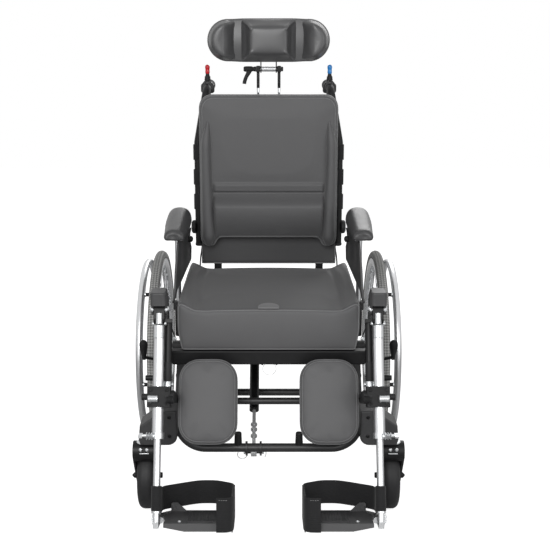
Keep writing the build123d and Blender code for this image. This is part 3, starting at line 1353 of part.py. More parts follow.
with BuildPart() as push_grips:
    for side in (-1, 1):
        with Locations(Plane(origin=(side * GRIP_X, grip_start_y, GRIP_Z), z_dir=(0, 1, 0))):
            Cylinder(
                GRIP_R,
                GRIP_LENGTH + GRIP_END_WALL,
                align=(Align.CENTER, Align.CENTER, Align.MIN),
            )
            Cylinder(
                BACK_TUBE_R + BEARING_FIT,
                GRIP_LENGTH,
                align=(Align.CENTER, Align.CENTER, Align.MIN),
                mode=Mode.SUBTRACT,
            )
    fillet(push_grips.edges().group_by(Axis.Y)[-1], 3)
save(push_grips, "push_grips")


def release_lever(side):
    """Upright thumb lever on its pivot in front of the grip."""
    pivot_y = lever_y - LEVER_CLAMP_LENGTH / 2
    neck_top_z = GRIP_Z + LEVER_NECK_TOP
    with BuildPart() as lever:
        plate_hull(
            side * GRIP_X - LEVER_THICKNESS / 2,
            side * GRIP_X + LEVER_THICKNESS / 2,
            [
                (pivot_y, lever_pivot_z, LEVER_EYE_R),
                (pivot_y, neck_top_z, LEVER_EYE_R - 1),
            ],
        )
        with Locations((side * GRIP_X, pivot_y, neck_top_z)):
            Cylinder(LEVER_TIP_R, LEVER_TIP_LENGTH, align=(Align.CENTER, Align.CENTER, Align.MIN))
        fillet(lever.edges().group_by(Axis.Z)[-1], 2)
        with Locations(across(side * GRIP_X, pivot_y, lever_pivot_z)):
            Cylinder(LEVER_PIN_R + BEARING_FIT, 2 * LEVER_THICKNESS, mode=Mode.SUBTRACT)
    return lever


save(release_lever(-1), "tilt_lever")
save(release_lever(1), "recline_lever")

# ---- Release cables -------------------------------------------------------------------
cable_y = BACK_TUBE_Y + loop_outer_r + STRAP_THICKNESS + CABLE_R + 2
cable_start = Vector(GRIP_X, lever_y - LEVER_CLAMP_LENGTH / 2, GRIP_Z - LEVER_CLAMP_R)
cable_end = Vector(BACK_LEG_X + BACK_LEG_WIDTH / 2 + FERRULE_LENGTH, HINGE_Y, FERRULE_Z)

with BuildPart() as release_cables:
    with BuildLine():
        Spline(
            cable_start,
            (BACK_TUBE_X - 20, cable_y + 4, HIGH_CROSS_Z),
            (BACK_TUBE_X - 18, cable_y + 1, HIGH_CROSS_Z - 75),
            (BACK_TUBE_X - 16, cable_y, STRAP_FIRST_Z + STRAP_PITCH),
            (BACK_TUBE_X - 12, cable_y, STRAP_FIRST_Z - STRAP_HEIGHT / 2),
            (BACK_TUBE_X - 8, cable_y - 4, BACK_TUBE_BOTTOM_Z),
            (BACK_TUBE_X, BACK_TUBE_Y + 2, FERRULE_Z + 62),
            cable_end,
            tangents=[(0, 0, -1), (-1, 0, 0)],
        )
    with BuildSketch(Plane(origin=cable_start, z_dir=(0, 0, -1))):
        Circle(CABLE_R)
    sweep()
    mirror(about=Plane.YZ)
save(release_cables, "release_cables")

# ---- Head rest ------------------------------------------------------------------------
with BuildPart() as head_stem:
    for side in (-1, 1):
        with Locations((side * STEM_X, HEAD_STEM_Y, STEM_BOTTOM_Z)):
            Cylinder(
                STEM_R,
                HEAD_BAR_Z - STEM_BOTTOM_Z,
                align=(Align.CENTER, Align.CENTER, Align.MIN),
            )
        with Locations((side * STEM_X, HEAD_STEM_Y, HEAD_BAR_Z)):
            Box(2 * HEAD_BLOCK_HALF, 2 * HEAD_BLOCK, 2 * HEAD_BLOCK)
    with Locations(across(0, HEAD_STEM_Y, HEAD_BAR_Z)):
        Cylinder(HEAD_BAR_R, 2 * STEM_X)
    with Locations(across(-STEM_X, HEAD_STEM_Y, HEAD_BAR_Z)):
        Cylinder(HEAD_PIN_R, HEAD_LEVER_X, align=(Align.CENTER, Align.CENTER, Align.MAX))
save(head_stem, "head_stem")

strap_top_z = HEAD_Z - HEAD_PLATE_HEIGHT / 2 + HEAD_STRAP_WIDTH
with BuildPart() as head_bracket:
    with Locations((0, HEAD_BACK_Y, HEAD_Z)):
        Box(
            2 * HEAD_STRAP_X + 22,
            HEAD_STRAP_THICKNESS,
            HEAD_PLATE_HEIGHT,
            align=(Align.CENTER, Align.MIN, Align.CENTER),
        )
    for side in (-1, 1):
        strap_x = side * HEAD_STRAP_X - HEAD_STRAP_THICKNESS / 2
        plate_hull(
            strap_x,
            strap_x + HEAD_STRAP_THICKNESS,
            [
                (HEAD_STEM_Y, HEAD_BAR_Z, HEAD_STRAP_WIDTH / 2 + 1),
                (HEAD_BACK_Y + HEAD_STRAP_WIDTH / 2 + 1, strap_top_z, HEAD_STRAP_WIDTH / 2),
            ],
        )
    with Locations(across(0, HEAD_STEM_Y, HEAD_BAR_Z)):
        Cylinder(HEAD_BAR_R + BEARING_FIT, 3 * HEAD_STRAP_X, mode=Mode.SUBTRACT)
save(head_bracket, "head_bracket")

shell_y = HEAD_BACK_Y - HEAD_SHELL
wing_y = shell_y - HEAD_WING_RISE
with BuildPart() as head_pad:
    with BuildSketch(Plane.XZ.offset(-HEAD_BACK_Y)):
        with Locations((0, HEAD_Z)):
            SlotOverall(2 * HEAD_HALF_WIDTH, HEAD_HEIGHT)
    extrude(amount=HEAD_SHELL)
    fillet(head_pad.faces().sort_by(Axis.Y)[0].edges(), HEAD_EDGE_R)
    with BuildSketch(Plane.XZ.offset(-shell_y - 1)):
        with Locations((0, HEAD_Z)):
            SlotOverall(2 * (HEAD_HALF_WIDTH - HEAD_WING_SET_IN), HEAD_HEIGHT - 2 * HEAD_WING_SET_IN)
            Rectangle(2 * HEAD_WING_START, HEAD_HEIGHT, mode=Mode.SUBTRACT)
    extrude(amount=HEAD_WING_RISE + 1)
    with BuildSketch(Plane.XY.offset(HEAD_Z)):
        for side in (-1, 1):
            with BuildLine():
                Polyline(
                    (side * HEAD_WING_START, shell_y),
                    (side * (HEAD_WING_START - 1), wing_y - 1),
                    (side * HEAD_WING_CREST, wing_y - 1),
                    close=True,
                )
            make_face()
    extrude(amount=HEAD_HEIGHT / 2, both=True, mode=Mode.SUBTRACT)
    with BuildSketch(Plane.XZ.offset(-shell_y - 1)):
        with Locations((0, HEAD_Z)):
            RectangleRounded(2 * HEAD_CENTRE_HALF, HEAD_HEIGHT - 3, HEAD_OUTLINE_R)
    extrude(amount=HEAD_CENTRE_RISE + 1, taper=HEAD_CENTRE_TAPER)
save(head_pad, "head_pad")

with BuildPart() as head_lever:
    lever_start_x = STEM_X + HEAD_BLOCK_HALF + HEAD_LEVER_GAP
    with Locations(across(-lever_start_x, HEAD_STEM_Y, HEAD_BAR_Z)):
        Cylinder(HEAD_LEVER_R, HEAD_LEVER_BODY, align=(Align.CENTER, Align.CENTER, Align.MAX))
    handle_x = lever_start_x + HEAD_LEVER_BODY - HEAD_LEVER_R
    handle_top = Vector(-handle_x, HEAD_STEM_Y, HEAD_BAR_Z)
    handle_low = Vector(-handle_x - 8, HEAD_STEM_Y, HEAD_BAR_Z - HEAD_LEVER_REACH)
    with BuildSketch(Plane(origin=handle_top, z_dir=handle_low - handle_top)):
        Circle(HEAD_LEVER_R - 1)
    extrude(amount=(handle_low - handle_top).length)
    with Locations(Location(handle_low)):
        Sphere(HEAD_LEVER_R)
    with Locations(across(-STEM_X, HEAD_STEM_Y, HEAD_BAR_Z)):
        Cylinder(
            HEAD_PIN_R + BEARING_FIT,
            HEAD_LEVER_X,
            align=(Align.CENTER, Align.CENTER, Align.MAX),
            mode=Mode.SUBTRACT,
        )
save(head_lever, "head_lever")


# ---- Leg rests ------------------------------------------------------------------------
def leg_point(along, behind):
    """Y and Z of a point on the leg, measured down from the knee and behind the leg."""
    place = leg_plane(along, behind).origin
    return place.Y, place.Z


def hanger():
    """Swing-away post with the cap and cheeks that hold the knee pin."""
    cheek_gap = KNEE_CLEVIS_WIDTH / 2 + HINGE_SIDE_GAP
    cap_low_z = KNEE_Z + KNEE_CAP_UP
    cap_mid_z = cap_low_z + KNEE_CAP_HEIGHT / 2
    with BuildPart() as hanging:
        with BuildLine():
            FilletPolyline(
                (HANGER_POST_X, HANGER_Y, PAN_TOP_Z + 1),
                (HANGER_POST_X, HANGER_Y, cap_mid_z - 1),
                (LEG_X, KNEE_Y, cap_mid_z - 1),
                radius=HANGER_BEND_R,
            )
        with BuildSketch(Plane.XY.offset(PAN_TOP_Z + 1)):
            with Locations((HANGER_POST_X, HANGER_Y)):
                Circle(HANGER_POST_R)
        sweep()
        with Locations((HANGER_POST_X, HANGER_Y, PAN_TOP_Z + 1)):
            Cylinder(HANGER_PIN_R, RAIL_HEIGHT, align=(Align.CENTER, Align.CENTER, Align.MAX))
            Cylinder(HANGER_SOCKET_R, HANGER_COLLAR, align=(Align.CENTER, Align.CENTER, Align.MIN))
        with BuildSketch(Plane.XY.offset(cap_low_z)):
            with Locations((LEG_X, KNEE_Y - KNEE_CAP_FORWARD)):
                RectangleRounded(2 * (cheek_gap + KNEE_CHEEK), KNEE_CAP_LENGTH, KNEE_CAP_R)
        extrude(amount=KNEE_CAP_HEIGHT)
        fillet(hanging.faces().sort_by(Axis.Z)[-1].edges(), KNEE_CAP_EDGE_R)
        for side in (-1, 1):
            inner = LEG_X + side * cheek_gap
            outer = inner + side * KNEE_CHEEK
            plate_hull(
                min(inner, outer),
                max(inner, outer),
                [
                    (KNEE_Y, KNEE_Z, KNEE_CLEVIS_R + 1),
                    (KNEE_Y, cap_low_z + 8, KNEE_CLEVIS_R + 1),
                ],
            )
        with Locations(across(LEG_X, KNEE_Y, KNEE_Z)):
            Cylinder(KNEE_PIN_R, 2 * (cheek_gap + KNEE_CHEEK + KNEE_PIN_END))
    return hanging


def leg_bracket():
    """Knee eye with the arm that holds the strut beside the leg tube."""
    half = KNEE_CLEVIS_WIDTH / 2
    eye = (KNEE_Y, KNEE_Z, KNEE_CLEVIS_R)
    foot = (*leg_point(LEG_TUBE_START - KNEE_CLEVIS_R, 0), KNEE_CLEVIS_R)
    with BuildPart() as bracket:
        plate_hull(LEG_X - half, LEG_X + half, [eye, foot])
        with Locations(leg_plane(STRUT_START, STRUT_BEHIND, STRUT_X)):
            Cylinder(
                STRUT_R,
                STRUT_END - STRUT_START,
                align=(Align.CENTER, Align.CENTER, Align.MIN),
            )
        with Locations(leg_plane(STRUT_START - 2, STRUT_BEHIND / 2, STRUT_X - STRUT_R)):
            Box(
                LEG_X - STRUT_X + STRUT_R,
                STRUT_BEHIND,
                LEG_TUBE_START - STRUT_START - 1,
                align=(Align.MIN, Align.CENTER, Align.MIN),
            )
        with Locations(across(LEG_X, KNEE_Y, KNEE_Z)):
            Cylinder(KNEE_PIN_R + BEARING_FIT, 2 * KNEE_CLEVIS_WIDTH, mode=Mode.SUBTRACT)
    return bracket


def leg_tube():
    """Upper leg tube with its end collar and wing screw."""
    along = (Align.CENTER, Align.CENTER, Align.MIN)
    with BuildPart() as tube:
        with Locations(leg_plane(LEG_TUBE_START + TUBE_END_GAP)):
            Cylinder(LEG_TUBE_R, LEG_TUBE_END - LEG_TUBE_START - TUBE_END_GAP, align=along)
        with Locations(leg_plane(LOWER_TUBE_TOP - SLIDE_ROOM)):
            Cylinder(LEG_TUBE_R - LEG_TUBE_WALL, 2 * LEG_TUBE_END, align=along, mode=Mode.SUBTRACT)
        with Locations(leg_plane(LEG_TUBE_END - COLLAR_LENGTH / 2)):
            Cylinder(COLLAR_R, COLLAR_LENGTH, align=along)
            Cylinder(LOWER_TUBE_R + BEARING_FIT, COLLAR_LENGTH, align=along, mode=Mode.SUBTRACT)
        screw = leg_plane(LEG_TUBE_END).origin
        with Locations(across(LEG_X + LEG_TUBE_R, screw.Y, screw.Z)):
            Cylinder(WING_SCREW_R, WING_SCREW_REACH, align=along)
        with Locations(across(LEG_X + LEG_TUBE_R + WING_SCREW_REACH - WING_WIDTH, screw.Y, screw.Z)):
            Box(WING_SPAN, WING_THICKNESS, WING_WIDTH, align=along)
    return tube


def lower_tube():
    """Sliding lower tube with the strap sleeve and the foot plate bracket."""
    along = (Align.CENTER, Align.CENTER, Align.MIN)
    with BuildPart() as tube:
        with Locations(leg_plane(LOWER_TUBE_TOP)):
            Cylinder(LOWER_TUBE_R, LOWER_TUBE_END - LOWER_TUBE_TOP, align=along)
        with Locations(leg_plane(HEEL_SLEEVE_TOP)):
            Cylinder(HEEL_SLEEVE_R, HEEL_SLEEVE_LENGTH, align=along)
        bar_x = LEG_X - FOOT_HINGE_X
        with Locations(foot_plane(bar_x, -FOOT_KNUCKLE_GAP, 0)):
            Box(
                FOOT_BAR_WIDTH,
                FOOT_BAR_FRONT,
                2 * FOOT_HINGE_R,
                align=(Align.CENTER, Align.MAX, Align.CENTER),
            )
        with Locations(foot_plane(0, -FOOT_KNUCKLE_GAP - FOOT_KNUCKLE / 2, 0)):
            with Locations(Rotation(90, 0, 0)):
                Cylinder(FOOT_HINGE_R, FOOT_KNUCKLE)
            Box(
                bar_x,
                FOOT_KNUCKLE,
                2 * FOOT_HINGE_R,
                align=(Align.MIN, Align.CENTER, Align.CENTER),
            )
        pin_length = 3 * FOOT_KNUCKLE + 2 * FOOT_KNUCKLE_GAP
        with Locations(foot_plane(0, pin_length / 2 - FOOT_KNUCKLE, 0)):
            with Locations(Rotation(90, 0, 0)):
                Cylinder(FOOT_PIN_R, pin_length)
        with Locations(foot_plane(0, pin_length - FOOT_KNUCKLE + FOOT_PIN_HEAD / 2, 0)):
            with Locations(Rotation(90, 0, 0)):
                Cylinder(FOOT_PIN_HEAD_R, FOOT_PIN_HEAD)
    return tube


def calf_clamp():
    """Clamp block on the leg tube, with its knob and the arm and pin for the pad."""
    height = CLAMP_HEIGHT
    middle_x = (CLAMP_INNER_X + CLAMP_OUTER_X) / 2
    arm_x = CALF_PAD_INNER_X + CALF_PAD_WIDTH + CALF_ARM_GAP
    pin_behind = CALF_PAD_FACE_BEHIND + CALF_PAD_THICKNESS + CALF_SHELL + CALF_MOUNT / 2
    with BuildPart() as clamp:
        with BuildSketch(leg_plane(CLAMP_AT - height / 2, 0, middle_x)):
            RectangleRounded(CLAMP_OUTER_X - CLAMP_INNER_X, CLAMP_DEPTH, 6)
        extrude(amount=height)
        with Locations(leg_plane(CLAMP_AT)):
            Cylinder(LEG_TUBE_R + BEARING_FIT, 2 * height, mode=Mode.SUBTRACT)
        plate_hull(
            arm_x,
            CLAMP_INNER_X + 2,
            [
                (*leg_point(CLAMP_AT, 0), CLAMP_DEPTH / 2 - 2),
                (*leg_point(CLAMP_AT, pin_behind), 9),
            ],
        )
        pin = leg_plane(CLAMP_AT, pin_behind).origin
        with Locations(across(arm_x, pin.Y, pin.Z)):
            Cylinder(CALF_PIN_R, CALF_PIN_LENGTH, align=(Align.CENTER, Align.CENTER, Align.MAX))
        knob = leg_plane(CLAMP_AT, -6).origin
        with Locations(across(CLAMP_OUTER_X - 10, knob.Y, knob.Z)):
            Cylinder(CLAMP_KNOB_R, CLAMP_KNOB_LENGTH, align=(Align.CENTER, Align.CENTER, Align.MIN))
        for bolt_x, bolt_along in ((CLAMP_OUTER_X - 8, -15), (CLAMP_OUTER_X - 8, 15), (CLAMP_INNER_X + 8, 0)):
            front = leg_plane(CLAMP_AT + bolt_along, -CLAMP_DEPTH / 2, bolt_x)
            with Locations(Plane(origin=front.origin, z_dir=-front.y_dir)):
                Cylinder(CLAMP_BOLT_R, 4)
    return clamp


def calf_pad():
    """Oval calf pad on its shell, with the mount that turns on the clamp's pin."""
    middle_x = CALF_PAD_INNER_X + CALF_PAD_WIDTH / 2
    rear = CALF_PAD_FACE_BEHIND + CALF_PAD_THICKNESS
    pin_behind = rear + CALF_SHELL + CALF_MOUNT / 2
    back = leg_plane(CLAMP_AT, rear, middle_x)
    face_plane = Plane(origin=back.origin, x_dir=(1, 0, 0), z_dir=back.y_dir)
    with BuildPart() as pad:
        with BuildSketch(face_plane):
            RectangleRounded(CALF_PAD_WIDTH, CALF_PAD_HEIGHT, CALF_PAD_CORNER_R)
        extrude(amount=CALF_PAD_THICKNESS)
        front_face = pad.faces().sort_by(face_plane.location.z_axis)[-1]
        fillet(front_face.edges(), CALF_PAD_CROWN)
        with BuildSketch(face_plane):
            RectangleRounded(CALF_PAD_WIDTH - 12, CALF_PAD_HEIGHT - 12, CALF_PAD_CORNER_R - 6)
        extrude(amount=-CALF_SHELL)
        with Locations(leg_plane(CLAMP_AT, pin_behind, middle_x)):
            Box(CALF_PAD_WIDTH - 30, CALF_MOUNT + 2, 2 * CALF_MOUNT)
        pin = leg_plane(CLAMP_AT, pin_behind).origin
        with Locations(across(middle_x, pin.Y, pin.Z)):
            Cylinder(CALF_PIN_R + BEARING_FIT, CALF_PAD_WIDTH, mode=Mode.SUBTRACT)
    return pad


save_pair(hanger(), "hanger")
save_pair(leg_bracket(), "leg_bracket")
save_pair(leg_tube(), "leg_tube")
save_pair(lower_tube(), "lower_tube")
save_pair(calf_clamp(), "calf_clamp")
save_pair(calf_pad(), "calf_pad")


# ---- Foot plates ----------------------------------------------------------------------
def foot_plate():
    """Tread plate with a turned-down front lip and an upright ear, hinged at its outer side."""
    half = FOOT_PLATE_THICKNESS / 2
    outer = -FOOT_HINGE_R - 2
    wide = outer + FOOT_PLATE_WIDENING
    knuckle_rear = 2 * FOOT_KNUCKLE + FOOT_KNUCKLE_GAP + FOOT_PIN_HEAD + 1.5
    ear_outer = wide - FOOT_PLATE_CHAMFER
    ear_rear = FOOT_PLATE_REAR - FOOT_EAR_SETBACK
    forwards = -foot_plane().y_dir
    with BuildPart() as plate:
        with BuildSketch(foot_plane(0, 0, -half)) as outline:
            with BuildLine():
                Polyline(
                    (outer, -FOOT_PLATE_FRONT),
                    (outer, knuckle_rear),
                    (wide, knuckle_rear),
                    (wide, FOOT_PLATE_REAR - FOOT_PLATE_CHAMFER),
                    (ear_outer, FOOT_PLATE_REAR),
                    (-FOOT_PLATE_INNER, FOOT_PLATE_REAR),
                    (-FOOT_PLATE_INNER, -FOOT_PLATE_FRONT),
                    close=True,
                )
            make_face()
            inner_corners = outline.vertices().group_by(Axis.X)[0]
            fillet(inner_corners.sort_by(Axis.Y)[-1], 10)
            with Locations((FOOT_HOLE_X, FOOT_HOLE_BACK)):
                Circle(FOOT_HOLE_R, mode=Mode.SUBTRACT)
        extrude(amount=FOOT_PLATE_THICKNESS)
        lip_face = Plane(foot_plane(0, -FOOT_PLATE_FRONT).origin, x_dir=(1, 0, 0), z_dir=forwards)
        with BuildSketch(lip_face):
            with BuildLine():
                Polyline(
                    (outer, half),
                    (outer, half - FOOT_LIP + FOOT_LIP_SLANT),
                    (outer - FOOT_LIP_SLANT_LENGTH, half - FOOT_LIP),
                    (-FOOT_PLATE_INNER, half - FOOT_LIP),
                    (-FOOT_PLATE_INNER, half),
                    close=True,
                )
            make_face()
        extrude(amount=-FOOT_LIP_THICKNESS)
        ear_face = Plane(foot_plane(0, ear_rear).origin, x_dir=(1, 0, 0), z_dir=forwards)
        with BuildSketch(ear_face) as ear:
            with BuildLine():
                Polyline(
                    (ear_outer, 0),
                    (ear_outer, half + FOOT_EAR_HEIGHT),
                    (ear_outer - FOOT_EAR_TOP, half + FOOT_EAR_HEIGHT),
                    (ear_outer - FOOT_EAR_BASE, half),
                    (ear_outer - FOOT_EAR_BASE, 0),
                    close=True,
                )
            make_face()
            fillet(ear.vertices().group_by(Axis.Y)[-1], 5)
        extrude(amount=FOOT_EAR_THICKNESS)
        ear_screw_x = ear_outer - FOOT_EAR_TOP / 2
        ear_screw_back = ear_rear - FOOT_EAR_THICKNESS
        with Locations(foot_plane(ear_screw_x, ear_screw_back, FOOT_EAR_HEIGHT / 2)):
            with Locations(Rotation(90, 0, 0)):
                Cylinder(FOOT_EAR_SCREW_R, FOOT_EAR_THICKNESS)
        with Locations(foot_plane(0, FOOT_KNUCKLE)):
            with Locations(Rotation(90, 0, 0)):
                Cylinder(FOOT_HINGE_R, 2 * FOOT_KNUCKLE)
            Box(
                -outer + 1,
                2 * FOOT_KNUCKLE,
                FOOT_PLATE_THICKNESS,
                align=(Align.MAX, Align.CENTER, Align.CENTER),
            )
            with Locations(Rotation(90, 0, 0)):
                Cylinder(FOOT_PIN_R + BEARING_FIT, 2 * FOOT_KNUCKLE, mode=Mode.SUBTRACT)
    return plate


def heel_strap():
    """Webbing loop round the back of the foot plate, folded down over its inner side."""
    inner = -FOOT_PLATE_INNER - HEEL_STRAP_THICKNESS / 2 - 0.3
    front = -FOOT_PLATE_FRONT + 4
    with BuildPart() as strap:
        with BuildSketch(foot_plane(0, 0, HEEL_STRAP_LIFT)):
            with BuildLine():
                FilletPolyline(
                    (HEEL_STRAP_SIDE, HEEL_STRAP_NEAR),
                    (HEEL_STRAP_SIDE, HEEL_STRAP_TURN),
                    (HEEL_STRAP_SLANT_X, HEEL_STRAP_SLANT_BACK),
                    (HEEL_STRAP_REAR_OUTER, HEEL_STRAP_REAR),
                    (HEEL_STRAP_REAR_INNER, HEEL_STRAP_REAR),
                    (inner, FOOT_PLATE_REAR + 12),
                    (inner, front),
                    radius=HEEL_STRAP_BEND_R,
                )
            trace(line_width=HEEL_STRAP_THICKNESS)
        extrude(amount=HEEL_STRAP_HEIGHT)
        with Locations(foot_plane(inner, front, HEEL_STRAP_LIFT)):
            Box(
                HEEL_STRAP_THICKNESS,
                HEEL_STRAP_FOLD,
                HEEL_STRAP_LIFT + FOOT_LIP,
                align=(Align.CENTER, Align.MIN, Align.MAX),
            )
    return strap


save_pair(foot_plate(), "foot_plate")
save_pair(heel_strap(), "heel_strap")


# ---- Gas springs ----------------------------------------------------------------------
def spring_plane(x, foot, top, along):
    """Plane square to a spring, so far up from its foot, with x along +X."""
    reach = Vector(0, top[0] - foot[0], top[1] - foot[1])
    place = Vector(x, foot[0], foot[1]) + reach.normalized() * along
    return Plane(origin=place, x_dir=(1, 0, 0), z_dir=reach)


def spring_eye(x, place, radius, bore):
    """Eye square to X with its pin hole."""
    with Locations(across(x, place[0], place[1])):
        Cylinder(radius, SPRING_EYE_WIDTH)
        Cylinder(bore, 3 * SPRING_EYE_WIDTH, mode=Mode.SUBTRACT)


tilt_foot = (AXLE_Y - TILT_SPRING_FOOT_FROM_AXLE, TILT_SPRING_FOOT_Z)
tilt_top = (AXLE_Y - TILT_SPRING_TOP_FROM_AXLE, TILT_SPRING_TOP_Z)
tilt_length = hypot(tilt_top[0] - tilt_foot[0], tilt_top[1] - tilt_foot[1])
recline_base = (AXLE_Y - RECLINE_SPRING_BASE_FROM_AXLE, RECLINE_SPRING_BASE_Z)
recline_end = (HINGE_Y, spring_cross_z)
recline_length = hypot(recline_end[0] - recline_base[0], recline_end[1] - recline_base[1])
upwards = (Align.CENTER, Align.CENTER, Align.MIN)

with BuildPart() as tilt_rod:
    with Locations(spring_plane(SPRING_X, tilt_foot, tilt_top, 0)):
        Cylinder(SPRING_ROD_R, TILT_ROD_LENGTH, align=upwards)
    for nut_along in SPRING_NUTS:
        with Locations(spring_plane(SPRING_X, tilt_foot, tilt_top, nut_along)):
            Cylinder(SPRING_NUT_R, SPRING_NUT_HEIGHT)
    spring_eye(SPRING_X, tilt_foot, SPRING_EYE_R, SPRING_PIN_R + BEARING_FIT)
save(tilt_rod, "tilt_spring_rod")

with BuildPart() as tilt_cylinder:
    with Locations(spring_plane(SPRING_X, tilt_foot, tilt_top, TILT_ROD_OUT)):
        Cylinder(SPRING_CYLINDER_R, tilt_length - TILT_ROD_OUT - SPRING_NECK, align=upwards)
    with Locations(spring_plane(SPRING_X, tilt_foot, tilt_top, tilt_length - SPRING_NECK - 2)):
        Cylinder(SPRING_NUT_R, SPRING_NECK, align=upwards)
    with Locations(spring_plane(SPRING_X, tilt_foot, tilt_top, TILT_ROD_OUT)):
        Cylinder(SPRING_ROD_R + SPRING_BORE_FIT, TILT_BORE, align=upwards, mode=Mode.SUBTRACT)
    spring_eye(SPRING_X, tilt_top, SPRING_EYE_R, SPRING_PIN_R + SPRING_EYE_PLAY)
save(tilt_cylinder, "tilt_spring_cylinder")

recline_body = recline_length - RECLINE_ROD_OUT
with BuildPart() as recline_cylinder:
    with Locations(spring_plane(RECLINE_SPRING_X, recline_base, recline_end, SPRING_NECK)):
        Cylinder(SPRING_CYLINDER_R, recline_body - SPRING_NECK, align=upwards)
    with Locations(spring_plane(RECLINE_SPRING_X, recline_base, recline_end, 0)):
        Cylinder(SPRING_NUT_R, SPRING_NECK + 2, align=upwards)
    bore_start = recline_body - RECLINE_BORE
    with Locations(spring_plane(RECLINE_SPRING_X, recline_base, recline_end, bore_start)):
        Cylinder(SPRING_ROD_R + SPRING_BORE_FIT, RECLINE_BORE, align=upwards, mode=Mode.SUBTRACT)
    spring_eye(RECLINE_SPRING_X, recline_base, SPRING_EYE_R, SPRING_PIN_R + BEARING_FIT)
save(recline_cylinder, "recline_spring_cylinder")

rod_start = recline_length - RECLINE_ROD_LENGTH
with BuildPart() as recline_rod:
    with Locations(spring_plane(RECLINE_SPRING_X, recline_base, recline_end, rod_start)):
        Cylinder(SPRING_ROD_R, RECLINE_ROD_LENGTH, align=upwards)
    cross_bore = SPRING_CROSS_R + SPRING_EYE_PLAY
    spring_eye(RECLINE_SPRING_X, recline_end, cross_bore + 5, cross_bore)
save(recline_rod, "recline_spring_rod")
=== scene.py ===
import math

import bmesh
import bpy
from mathutils import Matrix, Vector
from mathutils.bvhtree import BVHTree
from mathutils.kdtree import KDTree


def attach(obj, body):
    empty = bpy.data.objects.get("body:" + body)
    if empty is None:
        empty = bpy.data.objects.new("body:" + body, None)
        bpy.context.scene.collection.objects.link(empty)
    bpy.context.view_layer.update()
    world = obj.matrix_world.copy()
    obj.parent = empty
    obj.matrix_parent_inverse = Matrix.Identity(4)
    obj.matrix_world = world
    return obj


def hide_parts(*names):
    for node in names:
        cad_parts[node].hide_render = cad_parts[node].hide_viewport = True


bl_info = {
    "name": "Tilt in space wheelchair",
    "version": (1, 0, 0),
    "blender": (4, 5, 0),
    "location": "3D View > Sidebar > Wheelchair",
    "description": "Dresses the wheelchair's frame with its upholstery, fittings and finishes",
    "category": "Object",
}

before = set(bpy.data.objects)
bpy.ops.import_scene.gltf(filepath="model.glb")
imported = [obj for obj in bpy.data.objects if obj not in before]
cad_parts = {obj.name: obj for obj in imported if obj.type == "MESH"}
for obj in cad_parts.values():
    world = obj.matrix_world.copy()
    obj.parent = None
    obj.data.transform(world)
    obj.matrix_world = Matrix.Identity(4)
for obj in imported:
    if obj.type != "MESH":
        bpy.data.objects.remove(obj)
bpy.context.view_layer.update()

# The user faces -Y and +X is the user's left hand. Lengths here are in millimetres, and a
# piece is turned into metres when it is finished.
MM = 0.001
IMAGE_SIDE = 550  # pixels of the photograph the camera was fitted to

# ---- Places of the frame that the pieces sit on ----------------------------------------
AXLE_Y = 199.1
AXLE_Z = 270.0
WHEEL_X = 302.0
CASTOR_X = 295.0
CASTOR_Y = AXLE_Y - 453.0
CASTOR_Z = 80.0
STEM_Y = CASTOR_Y - 45.0
HOUSING_FRONT_Y = STEM_Y - 32.0
FRONT_TUBE_Y = STEM_Y + 8.0
FRONT_TUBE_Z = 168.0
TILT_Y = AXLE_Y - 320.0
TILT_Z = 345.0
SEAT_FRONT_Y = AXLE_Y - 475.0
SEAT_REAR_Y = SEAT_FRONT_Y + 442.0
SEAT_BOTTOM_Z = 405.0
SEAT_TOP_Z = 505.0
BACK_TUBE_X = 192.0
BACK_TUBE_Y = AXLE_Y + 12.0
BACK_TUBE_R = 10.5
SLING_REAR_Y = BACK_TUBE_Y - BACK_TUBE_R - 3.9
BACKREST_REAR_Y = SLING_REAR_Y - 5.0
BACKREST_FACE_Y = BACKREST_REAR_Y - 42.0
GRIP_X = 166.0
GRIP_Z = 990.0
GRIP_START_Y = BACK_TUBE_Y + 55.0
LEVER_Y = GRIP_START_Y - 14.0
HEAD_Y = AXLE_Y - 14.0
HEAD_Z = 1115.5
HEAD_BAR_Z = 1040.0
HEAD_STEM_X = 28.0
ARM_POST_X = 231.0
ARM_POST_Y = AXLE_Y - 235.0
KNEE_X = 248.0
KNEE_Y = AXLE_Y - 532.0
KNEE_Z = 524.0
LEG_LEAN = math.radians(23.0)
FOOT_HINGE = (241.0, AXLE_Y - 672.0, 74.0)
FOOT_TILT = math.radians(12.0)
SPRING_X = 36.0
SPRING_PIN_Y = AXLE_Y - 467.0
SPRING_PIN_Z = 147.0
HANGER_PIN_X = 243.0
HANGER_PIN_Y = AXLE_Y - 456.0
SPOKE_SEAT_R = 230.0
HANDRIM_FOOT_R = 238.0
STRAP_ROWS_Z = (682.0, 750.0, 818.0)
STRAP_LOOP_R = BACK_TUBE_R + 1.7
LUMBAR_SEAM_Z = 716.0
SIDE_ROLL_LOW_Z, SIDE_ROLL_HIGH_Z = 568.0, 921.0
# The side rolls cover the back cushion's inner piping below this.
INNER_PIPING_LOW_Z = 596.0

# Out is away from the chair's middle on the user's left, where the first piece of a pair is made.
OUT, IN = (1, 0, 0), (-1, 0, 0)
FORWARD, BACKWARD = (0, -1, 0), (0, 1, 0)
UP, DOWN = (0, 0, 1), (0, 0, -1)
# Edges that meet at less than this many degrees are shaded smooth.
SHARP = 38.0
ALL_SMOOTH = 180.0


# ---- Small tools -------------------------------------------------------------------------
def linear(code):
    """The linear colour of an sRGB hex code."""
    parts = [int(code[i : i + 2], 16) / 255 for i in (1, 3, 5)]
    return tuple(c / 12.92 if c <= 0.04045 else ((c + 0.055) / 1.055) ** 2.4 for c in parts) + (1.0,)


def mix(low, high, share):
    """The value at a share of the way from low to high."""
    return low + (high - low) * share


